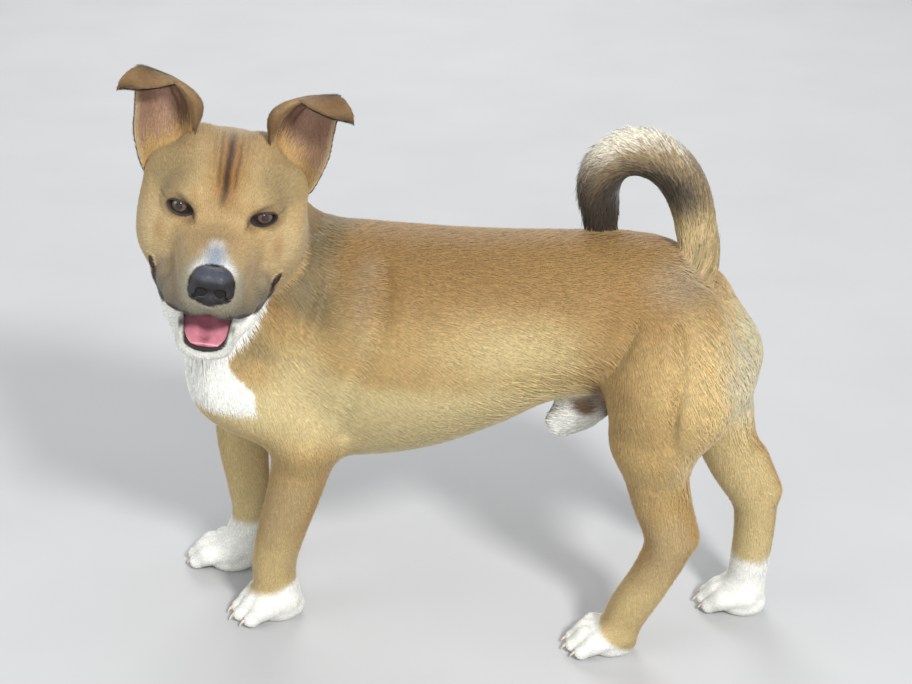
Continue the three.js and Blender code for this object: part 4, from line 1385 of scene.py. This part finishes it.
def grow_on_ear(rng, name, ear, material):
    """Short hair on the back, the flap and the rim of an ear, and a few pale wisps in its cup."""
    p, n, front = ear["points"], ear["normals"], ear["front"]
    inside = front * step(ear["place"][1], 0.6, 0.5)
    density = (1 - 0.85 * inside) * step(dog(p), -1, 1)
    at = scatter(rng, p, split(ear["quads"]), density, EAR_TUFTS)
    root, normal, front_at = at(p), unit(at(n)), at(inside)
    lie = stray(rng, at(ear["lie"]), normal)
    long = (3.6 + 3.5 * front_at) * rng.uniform(0.7, 1.25, EAR_TUFTS)
    one = np.ones(EAR_TUFTS)
    size = {"length": long, "width": EAR_WIDTH * one, "thickness": EAR_LOCK_THICKNESS * one}
    rise = 0.8 + front_at
    place = at(ear["place"])
    colours = paint(at(ear["colours"]), rgb(196, 168, 120), front_at * step(place[1], 0.35, 0.1) * 0.5)

    def flat(points):
        return ((points - root) * normal).sum(0)

    locks = make_locks(flat, root, lie, normal, size, rise, 1)
    place[0] = (place[0] + (at(front) > 0.5)) / 2
    colours = shade_locks(rng, colours, 1, EAR_CONTRAST)
    coat_piece(name, locks, colours, lock_uv(place, 1), 1, material, "ear_coat")


# ---------------------------------------------------------------- eyes, nose, tongue and claws
GAZE_OUT, GAZE_UP = 9, 2.5  # degrees from the head's forward
IRIS_ANGLE, PUPIL_ANGLE = 32, 12.5  # degrees from the middle of the eye
IRIS = rgb(88, 73, 61)
SCLERA = rgb(64, 52, 48)
BALL_SLACK, CORNEA_BULGE = 0.35, 0.75  # how much the ball is smaller than its radius, and the cornea higher
LID_RIM_POINTS, LID_RIM_RADIUS = 72, 0.7
LID_RIM_ROUNDS = 40  # steps that drop the rim onto the face


def ball_about(axis, rings, around, radius_at):
    """Points and quads of a ball round an axis, from its front pole to its back pole."""
    polar = np.linspace(0.0, math.pi, rings)
    spin = np.arange(around) / around * math.tau
    aside = np.cross(axis, (0, 0, 1.0))
    aside /= np.linalg.norm(aside)
    above = np.cross(axis, aside)
    polar, spin = [grid.ravel() for grid in np.meshgrid(polar, spin, indexing="ij")]
    sideways = column(aside) * np.cos(spin) + column(above) * np.sin(spin)
    way = column(axis) * np.cos(polar) + np.sin(polar) * sideways
    return way * radius_at(polar), ring_quads(rings, around), polar, spin


def make_eye(name, side, material):
    """An eyeball with a bulging cornea. The iris and the pupil are drawn by their angle from the gaze."""
    turn = turned("Z", side * GAZE_OUT) @ turned("Y", -GAZE_UP)
    gaze = (HEAD_AXES @ turn)[:, 0]

    def radius_at(polar):
        return EYE_RADIUS - BALL_SLACK + CORNEA_BULGE * step(-np.degrees(polar), -34, -8)

    p, quads, polar, spin = ball_about(gaze, 61, 64, radius_at)
    degrees = np.degrees(polar)
    rays = 0.12 * np.sin(spin * 23 + 2 * np.sin(spin * 7)) + 0.08 * np.sin(spin * 41)
    c = IRIS * (0.85 + 0.5 * step(degrees, 12, 24) + rays)
    c = paint(c, LIP * 0.6, step(degrees, PUPIL_ANGLE + 1.2, PUPIL_ANGLE - 0.6))
    c = paint(c, LIP, step(degrees, IRIS_ANGLE - 5, IRIS_ANGLE))
    c = paint(c, SCLERA, step(degrees, IRIS_ANGLE + 3, IRIS_ANGLE + 9))
    centre = from_head(column((EYE_AT[0], side * EYE_AT[1], EYE_AT[2])))
    piece = mesh_of(name, p + centre, quads, c)
    finish(piece, material, "eye", name)


def tube(path, radius, sides=8):
    """A closed ring of tube along a closed path, an array of three rows."""
    count = path.shape[1]
    run = unit(np.roll(path, -1, 1) - np.roll(path, 1, 1))
    outward = unit(path - path.mean(1, keepdims=True))
    aside = unit(np.cross(run, outward, axis=0))
    outward = np.cross(aside, run, axis=0)
    angle = np.arange(sides) / sides * math.tau
    around = outward[:, :, None] * np.cos(angle) + aside[:, :, None] * np.sin(angle)
    p = path[:, :, None] + around * radius
    ids = np.arange(count * sides).reshape(count, sides)
    up, over = np.roll(ids, -1, 0), np.roll(ids, -1, 1)
    both = np.roll(up, -1, 1)
    return p.reshape(3, -1), np.stack([ids, over, both, up], axis=-1).reshape(-1, 4)


def make_lid_rim(name, side, material):
    """The dark edge of the lids, dropped onto the face round the almond of the eye."""
    angle = np.arange(LID_RIM_POINTS) / LID_RIM_POINTS * math.tau
    ring = np.stack([0 * angle, (ALMOND[1] + 0.3) * np.cos(angle), (ALMOND[2] + 0.3) * np.sin(angle)])
    ring = turned("X", side * EYE_SLANT) @ ring + column((22, side * LID_AT[1], LID_AT[2]))
    for _ in range(LID_RIM_ROUNDS):
        ring[0] -= np.clip(face(ring.astype(np.float32)), -1, 1)
    smooth = (np.roll(ring, 1, 1) + ring + np.roll(ring, -1, 1)) / 3
    p, quads = tube(smooth, LID_RIM_RADIUS)
    piece = mesh_of(name, from_head(p), quads, LIP * np.ones_like(p))
    finish(piece, material, "eye")


def nose_shape(h):
    """The nose pad, with wings round two comma-shaped nostrils and a groove between them."""
    wings = eggs((69, 8.8, -29.5), (9.5, 7.4, 8.2), (0, 0, 20))
    top = eggs((69.5, 5, -20.8), (10.2, 9.8, 9), (0, -8, 0))
    body = union(4, *top, egg((69, 0, -34), (8.5, 7.5, 8.5)), *wings)
    groove = limb(1, (84, 0, -30, 0.9), (80, 0, -38, 0.9), (77, 0, -46, 0.9))
    return carve(1.2, carve(1, body, union(0.1, *[nostril(s) for s in SIDES])), groove)(h)


def nostril(s):
    """A round opening with a tail that runs outwards and down round the wing."""
    comma = curve((80, s * 8, -29, 2.2), (77, s * 11, -31.5, 1.7), (72, s * 15, -31.5, 1.3))
    return union(1.5, egg((79, s * 6.6, -27.5), (10, 4.1, 3.8)), comma)


def make_nose(material):
    p, quads = surface(nose_shape, *NOSE_BOX, NOSE_CELL)
    n = normals_of(p, quads)
    f, l, u = p
    hole = step(nostril(1)(np.stack([f - 1.5, np.abs(l), u])), 0.8, -0.4)
    c = rgb(26, 25, 27) * np.ones_like(p)
    # Painted reflection of the sky: a lighter bluish grey on the upward faces of the top of the nose.
    c = paint(c, rgb(46, 50, 60), step(n[2], 0.0, 0.7) * step(u, -27, -18))
    # Painted shade: near black deep in the nostrils.
    c = paint(c, LIP * 0.3, hole)
    piece = mesh_of("nose_leather", from_head(p), quads, c)
    finish(piece, material, "nose", "nose")


TONGUE = [
    (-14, -54, -61, 11),
    (0, -56, -68, 15),
    (22, -63, -75, 17),
    (38, -68.5, -80, 17.5),
    (49, -73, -80, 16.8),
    (54.5, -75.5, -80, 14.5),
    (58, -77, -80, 9.5),
]


def tongue_shape(h):
    """A flat tongue with a groove down its middle."""
    groove = limb(6, (-14, 0, -51, 2.5), (22, 0, -58.5, 3.2), (40, 0, -67, 2.8), (50, 0, -74, 2))
    return carve(6, barrel(TONGUE, 2.4), groove)(h)


def make_tongue(material):
    p, quads = surface(tongue_shape, *TONGUE_BOX, TONGUE_CELL)
    c = rgb(184, 116, 128) * np.ones_like(p)
    c = paint(c, rgb(158, 84, 98), step(np.abs(p[1]), 5, 0) * 0.5)
    # Painted shade: darker towards the back, where the upper lip shadows the tongue.
    c = paint(c, rgb(120, 50, 60), step(p[0], 30, 5))
    piece = mesh_of("tongue_flesh", from_head(p), quads, c)
    finish(piece, material, "tongue", "tongue")


CLAW_LENGTH, CLAW_RADIUS = 8.5, 2.1
CLAW_COLOUR = rgb(196, 178, 160)


def claw(n, size):
    """Points and quads of one claw in its foot's frame: a curved horn that leaves the tip of a toe."""
    tip = np.array(toe(n, size)[2][:3])
    rings, around = 9, 10
    s, angle = np.meshgrid(np.linspace(0, 1, rings), np.arange(around) / around * math.tau, indexing="ij")
    bend = np.radians(-8 - 50 * s)
    reach = CLAW_LENGTH * size * s
    radius = CLAW_RADIUS * size * np.sqrt(1.02 - s) * (1 - 0.25 * s)
    forward = tip[0] + 3.5 * size + reach * np.cos(bend / 1.6)
    height = tip[2] + 0.6 * size + reach * np.sin(bend / 1.6)
    p = np.stack(
        [
            forward + radius * np.cos(angle) * 0.45,
            tip[1] + radius * 0.8 * np.sin(angle),
            height + radius * np.cos(angle),
        ]
    )
    return p.reshape(3, -1), ring_quads(rings, around)


def make_claws(name, spec, material):
    matrix, at = foot_frame(spec)
    points, quads = joined([claw(n, spec["size"]) for n in TOES])
    p = matrix @ points + column(at)
    piece = mesh_of(f"claws_{name}", p, quads, CLAW_COLOUR * np.ones_like(p))
    finish(piece, material, "nose")


# ---------------------------------------------------------------- the stage
def make_floor(material):
    mesh = bpy.data.meshes.new("floor")
    mesh.from_pydata(FLOOR_CORNERS, [], [(0, 1, 2, 3)])
    mesh.materials.append(material)
    floor = linked("floor", mesh)


def pointed(way):
    """The rotation of a lamp or a camera that looks along a way."""
    return way.to_track_quat("-Z", "Y").to_euler()


def make_light(name, place, size, power, aim):
    light = bpy.data.lights.new(name, "AREA")
    light.shape = "DISK"
    light.size = size
    light.energy = power
    lamp = linked(name, light)
    lamp.location = place
    lamp.rotation_euler = pointed(Vector(aim) - Vector(place))


def make_world():
    world = bpy.data.worlds.new("studio")
    world.use_nodes = True
    background = world.node_tree.nodes["Background"]
    background.inputs["Color"].default_value = WORLD_COLOUR
    background.inputs["Strength"].default_value = WORLD_STRENGTH
    bpy.context.scene.world = world


def make_camera():
    lens = bpy.data.cameras.new("camera")
    lens.angle = math.radians(CAMERA_ANGLE)
    camera = linked("camera", lens)
    a, e = math.radians(CAMERA_AZIMUTH), math.radians(CAMERA_ELEVATION)
    away = Vector((math.sin(a) * math.cos(e), -math.cos(a) * math.cos(e), math.sin(e)))
    target = Vector(to_row(column(CAMERA_TARGET))[0])
    camera.location = target + away * CAMERA_DISTANCE * MM
    camera.rotation_euler = pointed(-away)
    bpy.context.scene.camera = camera


# ---------------------------------------------------------------- the whole dog
def make_ear(side):
    """The mesh of an ear, and what its hair needs at each point: place is across it and up it."""
    p, n, quads = ear_solid(side)
    front = np.repeat([1.0, 0.0], p.shape[1] // 2)
    rows = np.tile(np.repeat(np.linspace(0, 1, EAR_ROWS), EAR_COLUMNS), 2)
    across = np.tile(np.linspace(0, 1, EAR_COLUMNS), 2 * EAR_ROWS)
    lie = unit(np.gradient(p.reshape(3, 2, EAR_ROWS, EAR_COLUMNS), axis=2).reshape(3, -1))
    place = np.stack([across, rows])
    ear = {"points": p, "normals": n, "quads": quads, "front": front, "lie": lie, "place": place}
    return {**ear, "colours": ear_markings(p, front, place)}


def main():
    rng = np.random.default_rng(SEED)
    coat = coat_material()
    p, quads = surface(dog, *SKIN_BOX, SKIN_CELL)
    n = normals_of(p, quads)
    part = shares(p)
    skin = {"points": p, "triangles": split(quads), "normals": n, "part": part, "lie": flow(p, n, part)}
    ears = [make_ear(side) for side in SIDES]
    make_skin(p, quads, markings(p, n, part) * SKIN_SHADE, ears, skin_material())

    eye, rim = eye_material(), rim_material()
    for side, name in zip(SIDES, SIDE_NAMES):
        make_eye(f"eye_{name}", side, eye)
        make_lid_rim(f"lid_rim_{name}", side, rim)
    make_nose(nose_material())
    make_tongue(tongue_material())
    claws = claw_material()
    for name, spec in LEGS.items():
        make_claws(name, spec, claws)

    grow(rng, "coat", skin, coat_density, SHORT_TUFTS, coat_length, 1, SHORT_WIDTH, SHORT_CONTRAST, coat)
    grow(rng, "locks", skin, long_density, LONG_TUFTS, long_length, 2, LONG_WIDTH, LONG_CONTRAST, coat)
    for name, ear in zip(SIDE_NAMES, ears):
        grow_on_ear(rng, f"coat_ear_{name}", ear, coat)

    make_floor(floor_material())
    for light in LIGHTS:
        make_light(*light)
    make_world()
    make_camera()
    bpy.context.scene.view_settings.view_transform = "Standard"


main()
